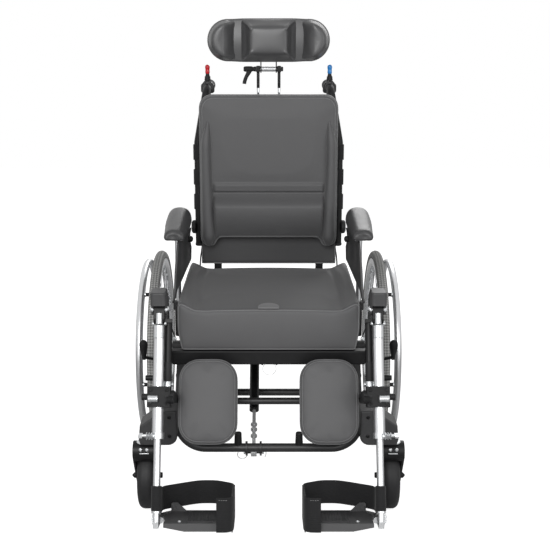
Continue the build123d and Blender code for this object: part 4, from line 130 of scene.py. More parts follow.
def smoothly(share):
    """A share from 0 to 1, eased at both ends."""
    held = max(0.0, min(1.0, share))
    return held * held * (3 - 2 * held)


def leg_point(x, along, behind):
    """A point of the leg rest, measured down from the knee and behind the leg's line."""
    y = KNEE_Y - along * math.sin(LEG_LEAN) + behind * math.cos(LEG_LEAN)
    z = KNEE_Z - along * math.cos(LEG_LEAN) - behind * math.sin(LEG_LEAN)
    return Vector((x, y, z))


def leg_down():
    """Direction down the leg."""
    return Vector((0, -math.sin(LEG_LEAN), -math.cos(LEG_LEAN)))


def leg_back():
    """Direction square to the leg, towards the rear."""
    return Vector((0, math.cos(LEG_LEAN), -math.sin(LEG_LEAN)))


def foot_point(side, back, up):
    """A point of the foot plate, from its hinge pin."""
    y = FOOT_HINGE[1] + back * math.cos(FOOT_TILT) + up * math.sin(FOOT_TILT)
    z = FOOT_HINGE[2] - back * math.sin(FOOT_TILT) + up * math.cos(FOOT_TILT)
    return Vector((FOOT_HINGE[0] + side, y, z))


def wheel_point(x, radius, degrees):
    """A point of the left wheel: degrees below the forward direction, round the axle."""
    turn = math.radians(degrees)
    return Vector((x, AXLE_Y - radius * math.cos(turn), AXLE_Z - radius * math.sin(turn)))


def circle(radius, steps=16):
    """Section of a round bar."""
    turns = [2 * math.pi * i / steps for i in range(steps)]
    return [(radius * math.cos(turn), radius * math.sin(turn)) for turn in turns]


def rounded_rectangle(width, height, radius, steps=6):
    """Outline of a rectangle with round corners, about its middle."""
    points = []
    for corner, (sx, sy) in enumerate(((1, 1), (-1, 1), (-1, -1), (1, -1))):
        for i in range(steps + 1):
            turn = math.pi / 2 * (corner + i / steps)
            x = sx * (width / 2 - radius) + radius * math.cos(turn)
            points.append((x, sy * (height / 2 - radius) + radius * math.sin(turn)))
    return points


def curve_through(points, steps=8):
    """A smooth line through the points."""
    line = [Vector(p) for p in points]
    found = []
    for i in range(len(line) - 1):
        a, b, c, d = (line[max(0, min(len(line) - 1, i + k))] for k in (-1, 0, 1, 2))
        for j in range(steps):
            t = j / steps
            bend, twist = 2 * a - 5 * b + 4 * c - d, 3 * b - a - 3 * c + d
            found.append(0.5 * (2 * b + (c - a) * t + bend * t**2 + twist * t**3))
    return [*found, line[-1]]


def evenly(points, gap, closed=False):
    """Points at about the same distance along straight runs between the given ones."""
    line = [Vector(p) for p in points]
    if closed:
        line.append(line[0])
    found = []
    for a, b in zip(line, line[1:]):
        count = max(1, round((b - a).length / gap))
        found += [a.lerp(b, i / count) for i in range(count)]
    return found if closed else [*found, line[-1]]


# ---- Forms, in millimetres: each adds a part to a bmesh ------------------------------------
def skin(bm, rings, closed=True, caps=True, looped=False):
    """Adds a surface over rings of points."""
    made = [[bm.verts.new(p) for p in ring] for ring in rings]
    for a, b in zip(made, made[1:] + ([made[0]] if looped else [])):
        count = len(a)
        for i in range(count if closed else count - 1):
            j = (i + 1) % count
            bm.faces.new((a[i], a[j], b[j], b[i]))
    if caps and not looped:
        bm.faces.new(list(reversed(made[0])))
        bm.faces.new(made[-1])


def turned(bm, profile, origin, axis, steps=32):
    """Adds a turned body, from pairs of distance along its axis and radius."""
    along = Vector(axis).normalized()
    side = along.orthogonal().normalized()
    other = along.cross(side)
    rings = []
    for distance, radius in profile:
        centre = Vector(origin) + along * distance
        held = max(radius, 0.02)
        rings.append([centre + (side * x + other * y) * held for x, y in circle(1, steps)])
    skin(bm, rings)


def sweep(bm, path, section, up=None, closed=False, scales=None):
    """Adds a section carried along a path, with its second number along up if that is given."""
    count = len(path)
    side = None
    rings = []
    for i, point in enumerate(path):
        before = path[i - 1] if closed or i else path[0]
        after = path[(i + 1) % count] if closed or i < count - 1 else path[-1]
        along = (Vector(after) - Vector(before)).normalized()
        if up is not None:
            side = along.cross(Vector(up)).normalized()
        elif side is None:
            side = along.orthogonal().normalized()
        else:
            side = (side - along * side.dot(along)).normalized()
        top = side.cross(along)
        size = scales[i] if scales else 1.0
        rings.append([Vector(point) + (side * a + top * b) * size for a, b in section])
    skin(bm, rings, looped=closed)


def block(bm, centre, size, edge=1.0, turn=None):
    """Adds a block with rounded edges."""
    made = bmesh.ops.create_cube(bm, size=1)
    place = Matrix.Translation(Vector(centre)) @ (turn.to_4x4() if turn else Matrix.Identity(4))
    bmesh.ops.transform(bm, matrix=place @ Matrix.Diagonal((*size, 1)), verts=made["verts"])
    edges = list(dict.fromkeys(e for v in made["verts"] for e in v.link_edges))
    bmesh.ops.bevel(bm, geom=edges, offset=edge, segments=3, profile=0.5, affect="EDGES")


def hexagon(bm, origin, axis, across_flats, height):
    """Adds a hexagon head with its washer face and chamfer."""
    radius = across_flats / 2 / math.cos(math.pi / 6)
    turned(bm, [(0, radius * 1.05), (height * 0.12, radius * 1.05)], origin, axis, 24)
    profile = [(0, radius), (height * 0.85, radius), (height, radius * 0.86)]
    turned(bm, profile, origin, axis, 6)


def button(bm, origin, axis, radius, height):
    """Adds a domed screw head with its socket."""
    profile = [(0, radius), (height * 0.35, radius), (height * 0.8, radius * 0.8), (height, radius * 0.5)]
    profile += [(height, radius * 0.42), (height * 0.45, radius * 0.36), (height * 0.4, 0)]
    turned(bm, profile, origin, axis, 24)


def acorn(bm, origin, axis, across_flats, height):
    """Adds a domed nut."""
    radius = across_flats / 2 / math.cos(math.pi / 6)
    turned(bm, [(0, radius), (height * 0.42, radius), (height * 0.5, radius * 0.85)], origin, axis, 6)
    dome = []
    for i in range(9):
        turn = math.pi / 2 * (i / 8) ** 1.3
        dome.append((height * mix(0.4, 1, i / 8), radius * 0.8 * math.cos(turn)))
    turned(bm, dome, origin, axis, 24)


def torus(bm, centre, axis, radius, wire, share=1.0, steps=36):
    """Adds a ring of wire, or a share of one."""
    along = Vector(axis).normalized()
    side = along.orthogonal().normalized()
    other = along.cross(side)
    whole = share >= 1
    count = max(4, round(steps * share))
    path = []
    for i in range(count if whole else count + 1):
        turn = 2 * math.pi * share * i / count
        path.append(Vector(centre) + (side * math.cos(turn) + other * math.sin(turn)) * radius)
    sweep(bm, path, circle(wire, 8), closed=whole)


def form(*parts):
    """One form from its parts, each a function of this section and what it is given."""
    bm = bmesh.new()
    for make, *facts in parts:
        make(bm, *facts)
    return bm


# ---- Pieces ------------------------------------------------------------------------------
def new_object(name, mesh):
    """A new object in the scene."""
    made = bpy.data.objects.new(name, mesh)
    bpy.context.scene.collection.objects.link(made)
    return made


def solid(bm, name, sharp=SHARP):
    """Turns a form in millimetres into an object in metres."""
    bmesh.ops.recalc_face_normals(bm, faces=bm.faces)
    bmesh.ops.scale(bm, vec=(MM, MM, MM), verts=bm.verts)
    mesh = bpy.data.meshes.new(name)
    bm.to_mesh(mesh)
    bm.free()
    shade(mesh, sharp)
    return new_object(name, mesh)


def shade(mesh, sharp):
    """Smooth shading, with edges kept where faces meet at more than an angle."""
    mesh.polygons.foreach_set("use_smooth", [True] * len(mesh.polygons))
    mesh.set_sharp_from_angle(angle=math.radians(sharp))


def modify(thing, kind, **settings):
    """Adds a modifier with its settings."""
    made = thing.modifiers.new(kind.title(), kind)
    for key, value in settings.items():
        setattr(made, key, value)


def applied(thing):
    """Bakes an object's modifiers into its mesh."""
    graph = bpy.context.evaluated_depsgraph_get()
    graph.update()
    mesh = bpy.data.meshes.new_from_object(thing.evaluated_get(graph))
    thing.modifiers.clear()
    thing.data = mesh
    shade(mesh, 180)
    return thing


def dress(thing, body, finish_name, replaced=()):
    """Gives a piece its finish, its body and the nodes it stands for."""
    thing.data.materials.clear()
    thing.data.materials.append(material(finish_name))
    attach(thing, body)
    if replaced:
        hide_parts(*replaced)
    return thing


def twin(thing, name):
    """A piece's mirror image for the user's right side."""
    bm = bmesh.new()
    bm.from_mesh(thing.data)
    bmesh.ops.scale(bm, vec=(-1, 1, 1), verts=bm.verts)
    bmesh.ops.reverse_faces(bm, faces=bm.faces)
    mesh = bpy.data.meshes.new(name)
    bm.to_mesh(mesh)
    bm.free()
    return new_object(name, mesh)


def dress_pair(thing, name, body, finish_name, replaced=()):
    """Dresses a left piece and its twin on the bodies and nodes of both sides."""
    thing.name = f"{name}_left"
    other = twin(thing, f"{name}_right")
    for piece, side in ((thing, "left"), (other, "right")):
        dress(piece, body.format(side=side), finish_name, [f"{n}_{side}" for n in replaced])
    return thing, other


def single(name, body, finish_name, *parts, sharp=SHARP, replaced=()):
    """Makes one piece of its parts and dresses it."""
    return dress(solid(form(*parts), name, sharp), body, finish_name, replaced)


def pair(name, body, finish_name, *parts, sharp=SHARP, replaced=(), slot=None):
    """Makes a left piece of its parts, and dresses it and its twin."""
    return dress_pair(solid(form(*parts), name, sharp), name, body, finish_name, replaced)


def paint(finish, *nodes):
    """Gives the frame's own nodes a finish."""
    for name in nodes:
        for node in (name.format(side="left"), name.format(side="right")):
            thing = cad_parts[node]
            thing.data.materials.clear()
            thing.data.materials.append(material(finish))


# ---- Finishes ----------------------------------------------------------------------------
def add(tree, kind, settings=None):
    """Adds a node; a setting is a value, or the output that is linked into the input it names."""
    made = tree.nodes.new(kind)
    for key, value in (settings or {}).items():
        if isinstance(value, bpy.types.NodeSocket):
            tree.links.new(value, made.inputs[key])
        elif isinstance(key, int) or key in made.inputs:
            made.inputs[key].default_value = value
        else:
            setattr(made, key, value)
    return made


def finish(low, high, patch, rough, relief, period, depth, slot, **more):
    """A finish: its two colours, the size in mm of the patches between them, roughness from and to,
    the relief pattern with its period and depth in mm, its slot, and the shader's own values."""
    facts = dict(colours=(low, high), patch=patch, rough=rough, relief=relief, period=period, depth=depth)
    return dict(facts, slot=slot, **more)


# Painted shade: the darker colour of the grooves between the tyre's tread blocks.
GROOVE_PAINTED_SHADE = "#868685"

FINISHES = {
    # Pale non-marking tyre rubber, moulded: dull, with painted shade between the tread blocks.
    "moulded_grey_tyre_rubber": finish("#bcbcba", "#cbcbc9", 14, (0.72, 0.9), "tread", 5.2, 0.9, "tyre"),
    # Extruded rim, polished and clear anodised: bright, with faint lines along its run.
    "polished_aluminium_rim": finish(
        "#c9cacc", "#dddedf", 30, (0.2, 0.34), "grain", 2.0, 0.02, "rim", metal=1.0
    ),
    # Bent tube, brushed and clear anodised: broad soft highlights along the tube.
    "anodised_aluminium_tube": finish(
        "#c4c5c7", "#d6d7d8", 40, (0.24, 0.36), "grain", 1.4, 0.02, "polished_steel", metal=1.0
    ),
    # Welded steel, powder coated black: fine orange peel and a soft satin light.
    "powder_coated_black_steel": finish(
        "#121213", "#19191a", 18, (0.36, 0.5), "grain", 1.8, 0.05, "black_frame", gloss=0.25
    ),
    # Steel tube, powder coated dark grey: satin, with one long highlight.
    "powder_coated_graphite_tube": finish(
        "#2c2c2d", "#363637", 20, (0.32, 0.46), "grain", 1.8, 0.05, "black_frame", gloss=0.35
    ),
    # Cast aluminium, blasted and coated: dull dark grey, with a fine even grain.
    "coated_cast_aluminium": finish(
        "#2b2b2c", "#363637", 16, (0.48, 0.62), "grain", 1.2, 0.08, "black_plastic"
    ),
    # Glass filled nylon, spark eroded mould: nearly black, dry, lighter along its edges.
    "moulded_black_nylon": finish(
        "#151516", "#1d1d1e", 12, (0.5, 0.66), "grain", 1.0, 0.07, "black_plastic", gloss=0.25, edge="#3a3a3b"
    ),
    # ABS moulding with a fine texture: dark grey with a soft shine.
    "moulded_grey_abs": finish(
        "#333334", "#3c3c3d", 18, (0.42, 0.56), "grain", 1.1, 0.06, "black_plastic", edge="#555556"
    ),
    # Cast polyurethane castor tyre: dark grey and waxy.
    "cast_polyurethane_tyre": finish(
        "#222223", "#2b2b2c", 16, (0.46, 0.62), "grain", 3.0, 0.06, "castor_tyre", gloss=0.3
    ),
    # Steel fastener, zinc plated: cool, a little cloudy.
    "zinc_plated_steel": finish(
        "#b9bbbd", "#d0d2d3", 5, (0.22, 0.38), "grain", 0.8, 0.02, "brushed_steel", metal=1.0
    ),
    # Ground rod, hard chromed: mirror bright.
    "hard_chromed_steel": finish(
        "#d2d4d6", "#dcdee0", 20, (0.06, 0.14), "grain", 3.0, 0.005, "polished_steel", metal=1.0
    ),
    # Stretch cover with a matt coating over a fine knit: even mid grey and a faint sheen.
    "coated_stretch_cover": finish(
        "#525253", "#5a5a5b", 45, (0.55, 0.68), "weave", 1.6, 0.05, "cushion", sheen=0.15
    ),
    # The same cover's bound seams and piping: tighter and lighter, as it catches the light.
    "bound_cover_piping": finish(
        "#6d6d6e", "#7b7b7c", 8, (0.5, 0.62), "weave", 1.2, 0.05, "cushion", sheen=0.2
    ),
    # Foam moulded in a polyurethane cover: a little darker and shinier than the cushions; its pale edge colour
    # is a painted highlight on its corners and ridges.
    "moulded_head_cover": finish(
        "#464647", "#4e4e4f", 40, (0.34, 0.44), "leather", 2.2, 0.04, "cushion", gloss=0.6, edge="#858586"
    ),
    # Plain woven lining: flatter and darker than the cover.
    "woven_lining": finish("#474748", "#4e4e4f", 30, (0.72, 0.85), "weave", 1.8, 0.09, "cushion", sheen=0.2),
    # Polyester webbing: near black, with ribs across it.
    "polyester_webbing": finish(
        "#1f1f20", "#282829", 10, (0.7, 0.85), "ribs", 2.2, 0.25, "webbing", gloss=0.2, sheen=0.1
    ),
    # Pale sewing thread in the webbing.
    "bonded_sewing_thread": finish("#8a8a8a", "#9c9c9c", 3, (0.6, 0.7), "grain", 0.6, 0.05, "webbing"),
    # Polyurethane with its own moulded skin: dark grey, leathery, softly shining.
    "integral_skin_foam": finish(
        "#353536", "#3e3e3f", 22, (0.38, 0.5), "leather", 2.6, 0.06, "pad_skin", gloss=0.45, edge="#5c5c5d"
    ),
    # Soft vinyl grip: black and matt.
    "soft_vinyl_grip": finish("#161617", "#1e1e1f", 12, (0.62, 0.76), "grain", 1.4, 0.08, "grip", gloss=0.25),
    # Dyed nylon lever tip, polished mould: glossy red.
    "glossy_red_nylon": finish("#c3121f", "#d11d29", 10, (0.14, 0.24), "grain", 4.0, 0.01, "red_plastic"),
    # The same in blue.
    "glossy_blue_nylon": finish("#2f86cf", "#3f96dc", 10, (0.14, 0.24), "grain", 4.0, 0.01, "blue_plastic"),
    # Cast lever parts, silver lacquered: pale grey and satin.
    "silver_lacquered_casting": finish(
        "#b4b5b7", "#c6c7c8", 8, (0.32, 0.45), "grain", 1.0, 0.03, "polished_steel", metal=0.5
    ),
    # Cable housing: black plastic, smooth.
    "extruded_cable_sheath": finish(
        "#111112", "#171718", 30, (0.35, 0.45), "grain", 2.0, 0.01, "black_plastic", gloss=0.25
    ),
}


def relief_height(tree, coordinates, kind, period):
    """The relief pattern's height, from 0 to 1, at its real period."""
    scale = 1 / (period * MM)

    def maths(operation, first, second, third=0.0):
        settings = {"operation": operation, 0: first, 1: second, 2: third}
        return add(tree, "ShaderNodeMath", settings).outputs[0]

    def wave(way, distortion=0.0):
        settings = {"wave_type": "BANDS", "bands_direction": way, "Scale": scale / 20 * math.pi}
        settings |= {"Distortion": distortion, "Vector": coordinates}
        return add(tree, "ShaderNodeTexWave", settings).outputs[1]

    if kind == "tread":
        apart = add(tree, "ShaderNodeSeparateXYZ", {0: coordinates})
        up = maths("SUBTRACT", apart.outputs[2], AXLE_Z * MM)
        back = maths("SUBTRACT", apart.outputs[1], AXLE_Y * MM)
        # The tyre's radius turns the angle into the length round the tread.
        round_it = maths("MULTIPLY", maths("ARCTAN2", up, back), AXLE_Z * MM)
        place = add(tree, "ShaderNodeCombineXYZ", {0: apart.outputs[0], 1: round_it})
        turned_place = add(
            tree, "ShaderNodeMapping", {"Rotation": (0, 0, math.radians(45)), 0: place.outputs[0]}
        )
        settings = {"Scale": scale, "Color1": (1, 1, 1, 1), "Color2": (0, 0, 0, 1)}
        return add(tree, "ShaderNodeTexChecker", settings | {"Vector": turned_place.outputs[0]}).outputs[1]
    if kind == "weave":
        waves = [wave(way) for way in ("X", "Z", "Y")]
        return maths("MULTIPLY_ADD", maths("MULTIPLY", waves[0], waves[1]), waves[2])
    if kind == "ribs":
        return wave("Z", 0.3)
    if kind == "leather":
        settings = {"feature": "SMOOTH_F1", "Scale": scale, "Smoothness": 0.6, "Vector": coordinates}
        return add(tree, "ShaderNodeTexVoronoi", settings).outputs[0]
    return add(tree, "ShaderNodeTexNoise", {"Scale": scale, "Detail": 3.0, "Vector": coordinates}).outputs[0]


def material(name, chosen=None):
    """The procedural material of a finish, made once, in its own colours or a chosen one."""
    if name in bpy.data.materials:
        return bpy.data.materials[name]
    facts = FINISHES[name]
    tones = [linear(code) for code in facts["colours"]]
    if chosen:
        tones = [tuple(chosen), tuple(min(1.0, part * 1.15) for part in chosen)]
    made = bpy.data.materials.new(name)
    made.use_nodes = True
    tree = made.node_tree
    tree.nodes.clear()
    where = add(tree, "ShaderNodeTexCoord").outputs["Object"]
    settings = {"Scale": 1 / (facts["patch"] * MM), "Detail": 4.0, "Roughness": 0.6, "Vector": where}
    patches = add(tree, "ShaderNodeTexNoise", settings).outputs[0]

    def blend(share, low, high):
        return add(tree, "ShaderNodeMix", {"data_type": "RGBA", 0: share, 6: low, 7: high}).outputs[2]

    colour = blend(patches, *tones)
    height = relief_height(tree, where, facts["relief"], facts["period"])
    # Painted shade: the tread's grooves take a darker colour.
    if facts["relief"] == "tread":
        colour = blend(height, linear(GROOVE_PAINTED_SHADE), colour)
    # Sharp edges take the finish's lighter edge colour: partly wear, partly a painted highlight where edges
    # catch the light.
    if "edge" in facts:
        edge_wear_and_highlight = add(tree, "ShaderNodeNewGeometry").outputs["Pointiness"]
        settings = {"From Min": 0.52, "From Max": 0.62, "To Max": 0.7, 0: edge_wear_and_highlight}
        colour = blend(add(tree, "ShaderNodeMapRange", settings).outputs[0], colour, linear(facts["edge"]))
    smooth, rough = facts["rough"]
    roughness = add(tree, "ShaderNodeMapRange", {"To Min": smooth, "To Max": rough, 0: patches}).outputs[0]
    # No real edge is sharp: the light sees each one rounded by about a millimetre.
    softened = add(tree, "ShaderNodeBevel", {"samples": 4, "Radius": 0.9 * MM}).outputs[0]
    settings = {"Strength": 1.0, "Distance": facts["depth"] * MM, "Height": height, "Normal": softened}
    bump = add(tree, "ShaderNodeBump", settings).outputs[0]
    settings = {"Metallic": facts.get("metal", 0.0), "Specular IOR Level": facts.get("gloss", 0.5)}
    if facts.get("sheen"):
        settings |= {"Sheen Weight": facts["sheen"], "Sheen Roughness": 0.5}
    settings |= {"Base Color": colour, "Roughness": roughness, "Normal": bump}
    shader = add(tree, "ShaderNodeBsdfPrincipled", settings)
    add(tree, "ShaderNodeOutputMaterial", {"Surface": shader.outputs[0]})
    return made


# ---- Soft goods --------------------------------------------------------------------------
CLOTH_FRAMES = 20
CLOTH = dict(
    quality=4, mass=0.3, tension_stiffness=12, compression_stiffness=12, shear_stiffness=6,
    bending_stiffness=1.5, use_pressure=True, vertex_group_mass="held",
)
# A seam holds the cloth that is this near to it, and lets go over the next millimetres.
SEAM_HOLD, SEAM_FADE = 3, 9


def near(points):
    """A search tree over points in millimetres, in metres."""
    tree = KDTree(len(points))
    for i, p in enumerate(points):
        tree.insert(Vector(p) * MM, i)
    tree.balance()
    return tree


def filled_out(thing, voxel, relax, seams, held, pressure, cap):
    """Remeshes a soft form, and lets cloth pressure crown it between its seams."""
    modify(thing, "REMESH", mode="VOXEL", voxel_size=voxel * MM)
    modify(thing, "SMOOTH", factor=0.5, iterations=relax)
    applied(thing)
    tree = near(seams) if seams else None
    group = thing.vertex_groups.new(name="held")
    for v in thing.data.vertices:
        away = tree.find(v.co)[2] if tree else 1.0
        weight = 1.0 if held(v.co / MM) else 1 - smoothly((away / MM - SEAM_HOLD) / SEAM_FADE)
        if weight > 0:
            group.add([v.index], weight, "REPLACE")
    rest = [v.co.copy() for v in thing.data.vertices]
    cloth = thing.modifiers.new("Cloth", "CLOTH")
    for key, value in CLOTH.items():
        setattr(cloth.settings, key, value)
    cloth.settings.uniform_pressure_force = pressure
    cloth.settings.effector_weights.gravity = 0
    cloth.point_cache.frame_end = CLOTH_FRAMES
    for step in range(1, CLOTH_FRAMES + 1):
        bpy.context.scene.frame_set(step)
    graph = bpy.context.evaluated_depsgraph_get()
    blown = [v.co.copy() for v in thing.evaluated_get(graph).data.vertices]
    thing.modifiers.remove(cloth)
    bpy.context.scene.frame_set(1)
    for v, was, now in zip(thing.data.vertices, rest, blown):
        move = now - was
        if move.length > cap * MM:
            move *= cap * MM / move.length
        v.co = was + move
    thing.vertex_groups.clear()
    modify(thing, "SUBSURF", levels=1, render_levels=1)
    return applied(thing)


def moved(thing, amount):
    """Moves a surface along its normals, by an amount in millimetres for each place."""
    mesh = thing.data
    normals = [v.normal.copy() for v in mesh.vertices]
    for v, normal in zip(mesh.vertices, normals):
        distance = amount(v.co / MM)
        if distance:
            v.co += normal * distance * MM
    mesh.update()


def pressed(thing, seams, width, depth):
    """Draws the surface in along its seams, or out where the depth is negative."""
    tree = near(seams)
    moved(thing, lambda p: -depth * (1 - smoothly(tree.find(p * MM)[2] / MM / width)))


def piping(name, path, radius, over, closed=False):
    """A round cord of cover cloth, laid along a path and sunk a little into a soft piece."""
    # The share of its radius by which the cord's middle stands above the cloth.
    raised = 0.2
    base = bmesh.new()
    base.from_mesh(over.data)
    tree = BVHTree.FromBMesh(base)
    base.free()
    laid = []
    for p in path:
        place, normal, _, _ = tree.find_nearest(Vector(p) * MM)
        laid.append((place + normal * radius * MM * raised) / MM)
    count = len(laid)
    for _ in range(2):
        eased = list(laid)
        for i in range(0 if closed else 1, count if closed else count - 1):
            eased[i] = (laid[i - 1] + laid[i] * 2 + laid[(i + 1) % count]) / 4
        laid = eased
    return solid(form((sweep, laid, circle(radius, 8), None, closed)), name)


class CushionSizes(bpy.types.PropertyGroup):
    """Sizes of the upholstery."""

    piping: bpy.props.FloatProperty(
        name="Piping", description="Radius of the piping cord", default=1.5 * MM, unit="LENGTH"
    )
    seat_swell: bpy.props.FloatProperty(
        name="Seat swell", description="Most that the seat cover bulges", default=6 * MM, unit="LENGTH"
    )
    back_swell: bpy.props.FloatProperty(
        name="Back swell", description="Most that the back cover bulges", default=5 * MM, unit="LENGTH"
    )
    pad_swell: bpy.props.FloatProperty(
        name="Pad swell", description="Most that the head and calf pads bulge", default=4 * MM, unit="LENGTH"
    )


class LeverColours(bpy.types.PropertyGroup):
    """Colours of the release levers."""

    tilt: bpy.props.FloatVectorProperty(
        name="Tilt lever", description="Colour of the tilt lever's tip", subtype="COLOR", size=4,
        default=linear("#c3121f"), min=0, max=1,
    )
    recline: bpy.props.FloatVectorProperty(
        name="Recline lever", description="Colour of the recline lever's tip", subtype="COLOR", size=4,
        default=linear("#2f86cf"), min=0, max=1,
    )


def seat_section(y, inset=0.0):
    """Section of the seat cushion across the chair, drawn in by an inset."""
    half = 216 - inset
    ridge = 523
    points = [(173, SEAT_TOP_Z + 1), (202, ridge), (211, ridge - 0.5), (half, 513), (half, 455)]
    points.append((half - 8, SEAT_BOTTOM_Z + inset))
    line = [(x, min(z, ridge - inset)) for x, z in points]
    crown = [(x, SEAT_TOP_Z + 4 * (1 - (x / 168) ** 2) - inset) for x in range(-150, 151, 30)]
    outline = [(-x, z) for x, z in line[::-1]] + crown + line
    return [Vector((x, y, z)) for x, z in outline]


class WHEELCHAIR_OT_seat_cushion(bpy.types.Operator):
    """Build the seat cushion with its piping and front tab"""

    bl_idname = "wheelchair.seat_cushion"
    bl_label = "Seat cushion"

    def execute(self, context):
        sizes = context.scene.wheelchair_cushions
        ends = ((0, 7), (3, 3), (8, 1))
        rings = [seat_section(SEAT_FRONT_Y + d, i) for d, i in ends]
        rings += [seat_section(mix(SEAT_FRONT_Y, SEAT_REAR_Y, s), 0.5) for s in (0.2, 0.4, 0.6, 0.8)]
        rings += [seat_section(SEAT_REAR_Y - d, i) for d, i in ends[::-1]]
        cushion = solid(form((skin, rings)), "seat_cushion_cover", ALL_SMOOTH)

        def along_seat(x, z, end, gap):
            return evenly([(x, SEAT_FRONT_Y + end, z), (x, SEAT_REAR_Y - end, z)], gap)

        front = evenly([*seat_section(SEAT_FRONT_Y + 2, 1.5)], 4, closed=True)
        rear = evenly([*seat_section(SEAT_REAR_Y - 2, 1.5)], 4, closed=True)
        sides = []
        rolls = []
        for side in (-1, 1):
            for x, z in ((214, 516), (208, SEAT_BOTTOM_Z + 3)):
                sides += along_seat(side * x, z, 4, 5)
            rolls += along_seat(side * 169, 506, 6, 5)
        seams = front + rear + sides
        swell = sizes.seat_swell / MM
        filled_out(cushion, 6, 3, seams, lambda p: p.z < SEAT_BOTTOM_Z + 4, 4.0, swell)
        pressed(cushion, seams, 7, 1.4)
        pressed(cushion, rolls, 9, 1.2)
        dress(cushion, "seat", "coated_stretch_cover", ["seat_cushion"])
        for word, path, closed in (
            ("front", front, True),
            ("rear", rear, True),
            ("side_right", along_seat(-214, 516, 8, 8), False),
            ("side_left", along_seat(214, 516, 8, 8), False),
        ):
            cord = piping(f"seat_piping_{word}", path, sizes.piping / MM, cushion, closed)
            dress(cord, "seat", "bound_cover_piping")
        tab = []
        for i in range(21):
            x = mix(-25, 25, i / 20)
            reach = 38 * math.sqrt(max(0.0, 1 - (x / 25.5) ** 2))
            ring = [(0, 0.0), (reach * 0.5, 1.4), (reach, 1.0), (reach, -3.0), (0, -3.0)]
            tab.append([Vector((x, SEAT_FRONT_Y + 3 + y, SEAT_TOP_Z + 6.5 + rise)) for y, rise in ring])
        single("seat_front_tab", "seat", "bound_cover_piping", (skin, tab))
        return {"FINISHED"}


def backrest_outline(inset, y):
    """Outline of the back cushion at a depth, raised between the side rolls, drawn in by an inset."""
    half = 186 - inset
    top = rounded_rectangle(2 * half, 410 - 2 * inset, 34 - inset * 0.6, 8)
    line = [(x, z) for x, z in top if z > 0]
    left = [(-half, -150), (-half, -186), (-half + 4, -197 + inset), (-half + 16, -205 + inset)]
    left += [(-152, -205 + inset), (-146, -202 + inset), (-142, -192 + inset), (-136, -180 + inset)]
    line += left + [(-x, z) for x, z in reversed(left)]
    return [Vector((x, y, 771 + z)) for x, z in line]


def lumbar_push(x, z):
    """How far the lumbar roll stands out of the back cushion's face."""
    side = 1 - smoothly((abs(x) - 143) / 7)
    over = smoothly((LUMBAR_SEAM_Z - 2 - z) / 34)
    under = math.sqrt(smoothly((z - 586) / 92))
    band = 5 * smoothly((z - LUMBAR_SEAM_Z) / 3) * smoothly((LUMBAR_SEAM_Z + 28 - z) / 8)
    return side * (29 * over * under + band)


def side_roll_ring(share):
    """Section of the back cushion's left side roll, at a share of its height."""
    point = smoothly((1 - share) * 4.5) ** 0.7
    foot = smoothly(share * 12 + 0.04) ** 0.5
    inner_x = mix(mix(144, 153, smoothly(share * 1.4)), 158, 1 - point)
    outer_x = mix(181, 159.5, 1 - point)
    middle = (inner_x + outer_x) / 2
    half = (outer_x - inner_x) / 2 * max(0.3, foot)
    rise = 25 * max(0.03, point) * max(0.3, foot)
    z = mix(SIDE_ROLL_LOW_Z, SIDE_ROLL_HIGH_Z, share)
    ring = []
    for across, up in circle(1, 24):
        x = middle + half * math.copysign(abs(across) ** 0.8, across)
        deep = rise if up > 0 else 16
        ring.append(Vector((x, BACKREST_FACE_Y + 3 - deep * up, z)))
    return ring


class WHEELCHAIR_OT_back_cushion(bpy.types.Operator):
    """Build the back cushion with its lumbar roll, side rolls and piping"""

    bl_idname = "wheelchair.back_cushion"
    bl_label = "Back cushion"

    def execute(self, context):
        sizes = context.scene.wheelchair_cushions
        depths = ((0, 3), (4, 0.5), (20, 0), (33, 1), (39, 4), (42, 10))
        rings = [backrest_outline(inset, BACKREST_REAR_Y - depth) for depth, inset in depths]
        cushion = solid(form((skin, rings)), "back_cushion_cover", ALL_SMOOTH)
        edge = evenly(backrest_outline(2.5, BACKREST_FACE_Y + 5), 4, closed=True)
        inner = evenly(backrest_outline(9, BACKREST_FACE_Y), 4, closed=True)
        low = min(range(len(inner)), key=lambda i: inner[i].z)
        inner = [p for p in inner[low:] + inner[:low] if p.z > INNER_PIPING_LOW_Z]
        rear = evenly(backrest_outline(2, BACKREST_REAR_Y - 2), 4, closed=True)
        across = evenly([(x, BACKREST_FACE_Y, LUMBAR_SEAM_Z) for x in (-150, 150)], 4)
        swell = sizes.back_swell / MM
        filled_out(cushion, 6, 3, edge + rear + across, lambda p: p.y > BACKREST_REAR_Y - 3, 4.0, swell)
        for v in cushion.data.vertices:
            if v.co.y < (BACKREST_FACE_Y + 12) * MM:
                v.co.y -= lumbar_push(v.co.x / MM, v.co.z / MM) * MM
        cushion.data.update()
        for seams, width, depth in ((across, 6, 4.0), (edge, 5, 1.0), (inner, 4, 0.8)):
            pressed(cushion, seams, width, depth)
        dress(cushion, "back", "coated_stretch_cover", ["back_cushion"])
        for name, path, closed in (("back_piping_outer", edge, True), ("back_piping_inner", inner, False)):
            dress(piping(name, path, sizes.piping / MM * 0.8, cushion, closed), "back", "bound_cover_piping")
        roll = solid(form((skin, [side_roll_ring(i / 32) for i in range(33)])), "back_side_roll", ALL_SMOOTH)
        modify(roll, "SUBSURF", levels=2, render_levels=2)
        for piece in dress_pair(applied(roll), "back_side_roll", "back", "coated_stretch_cover"):
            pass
        return {"FINISHED"}


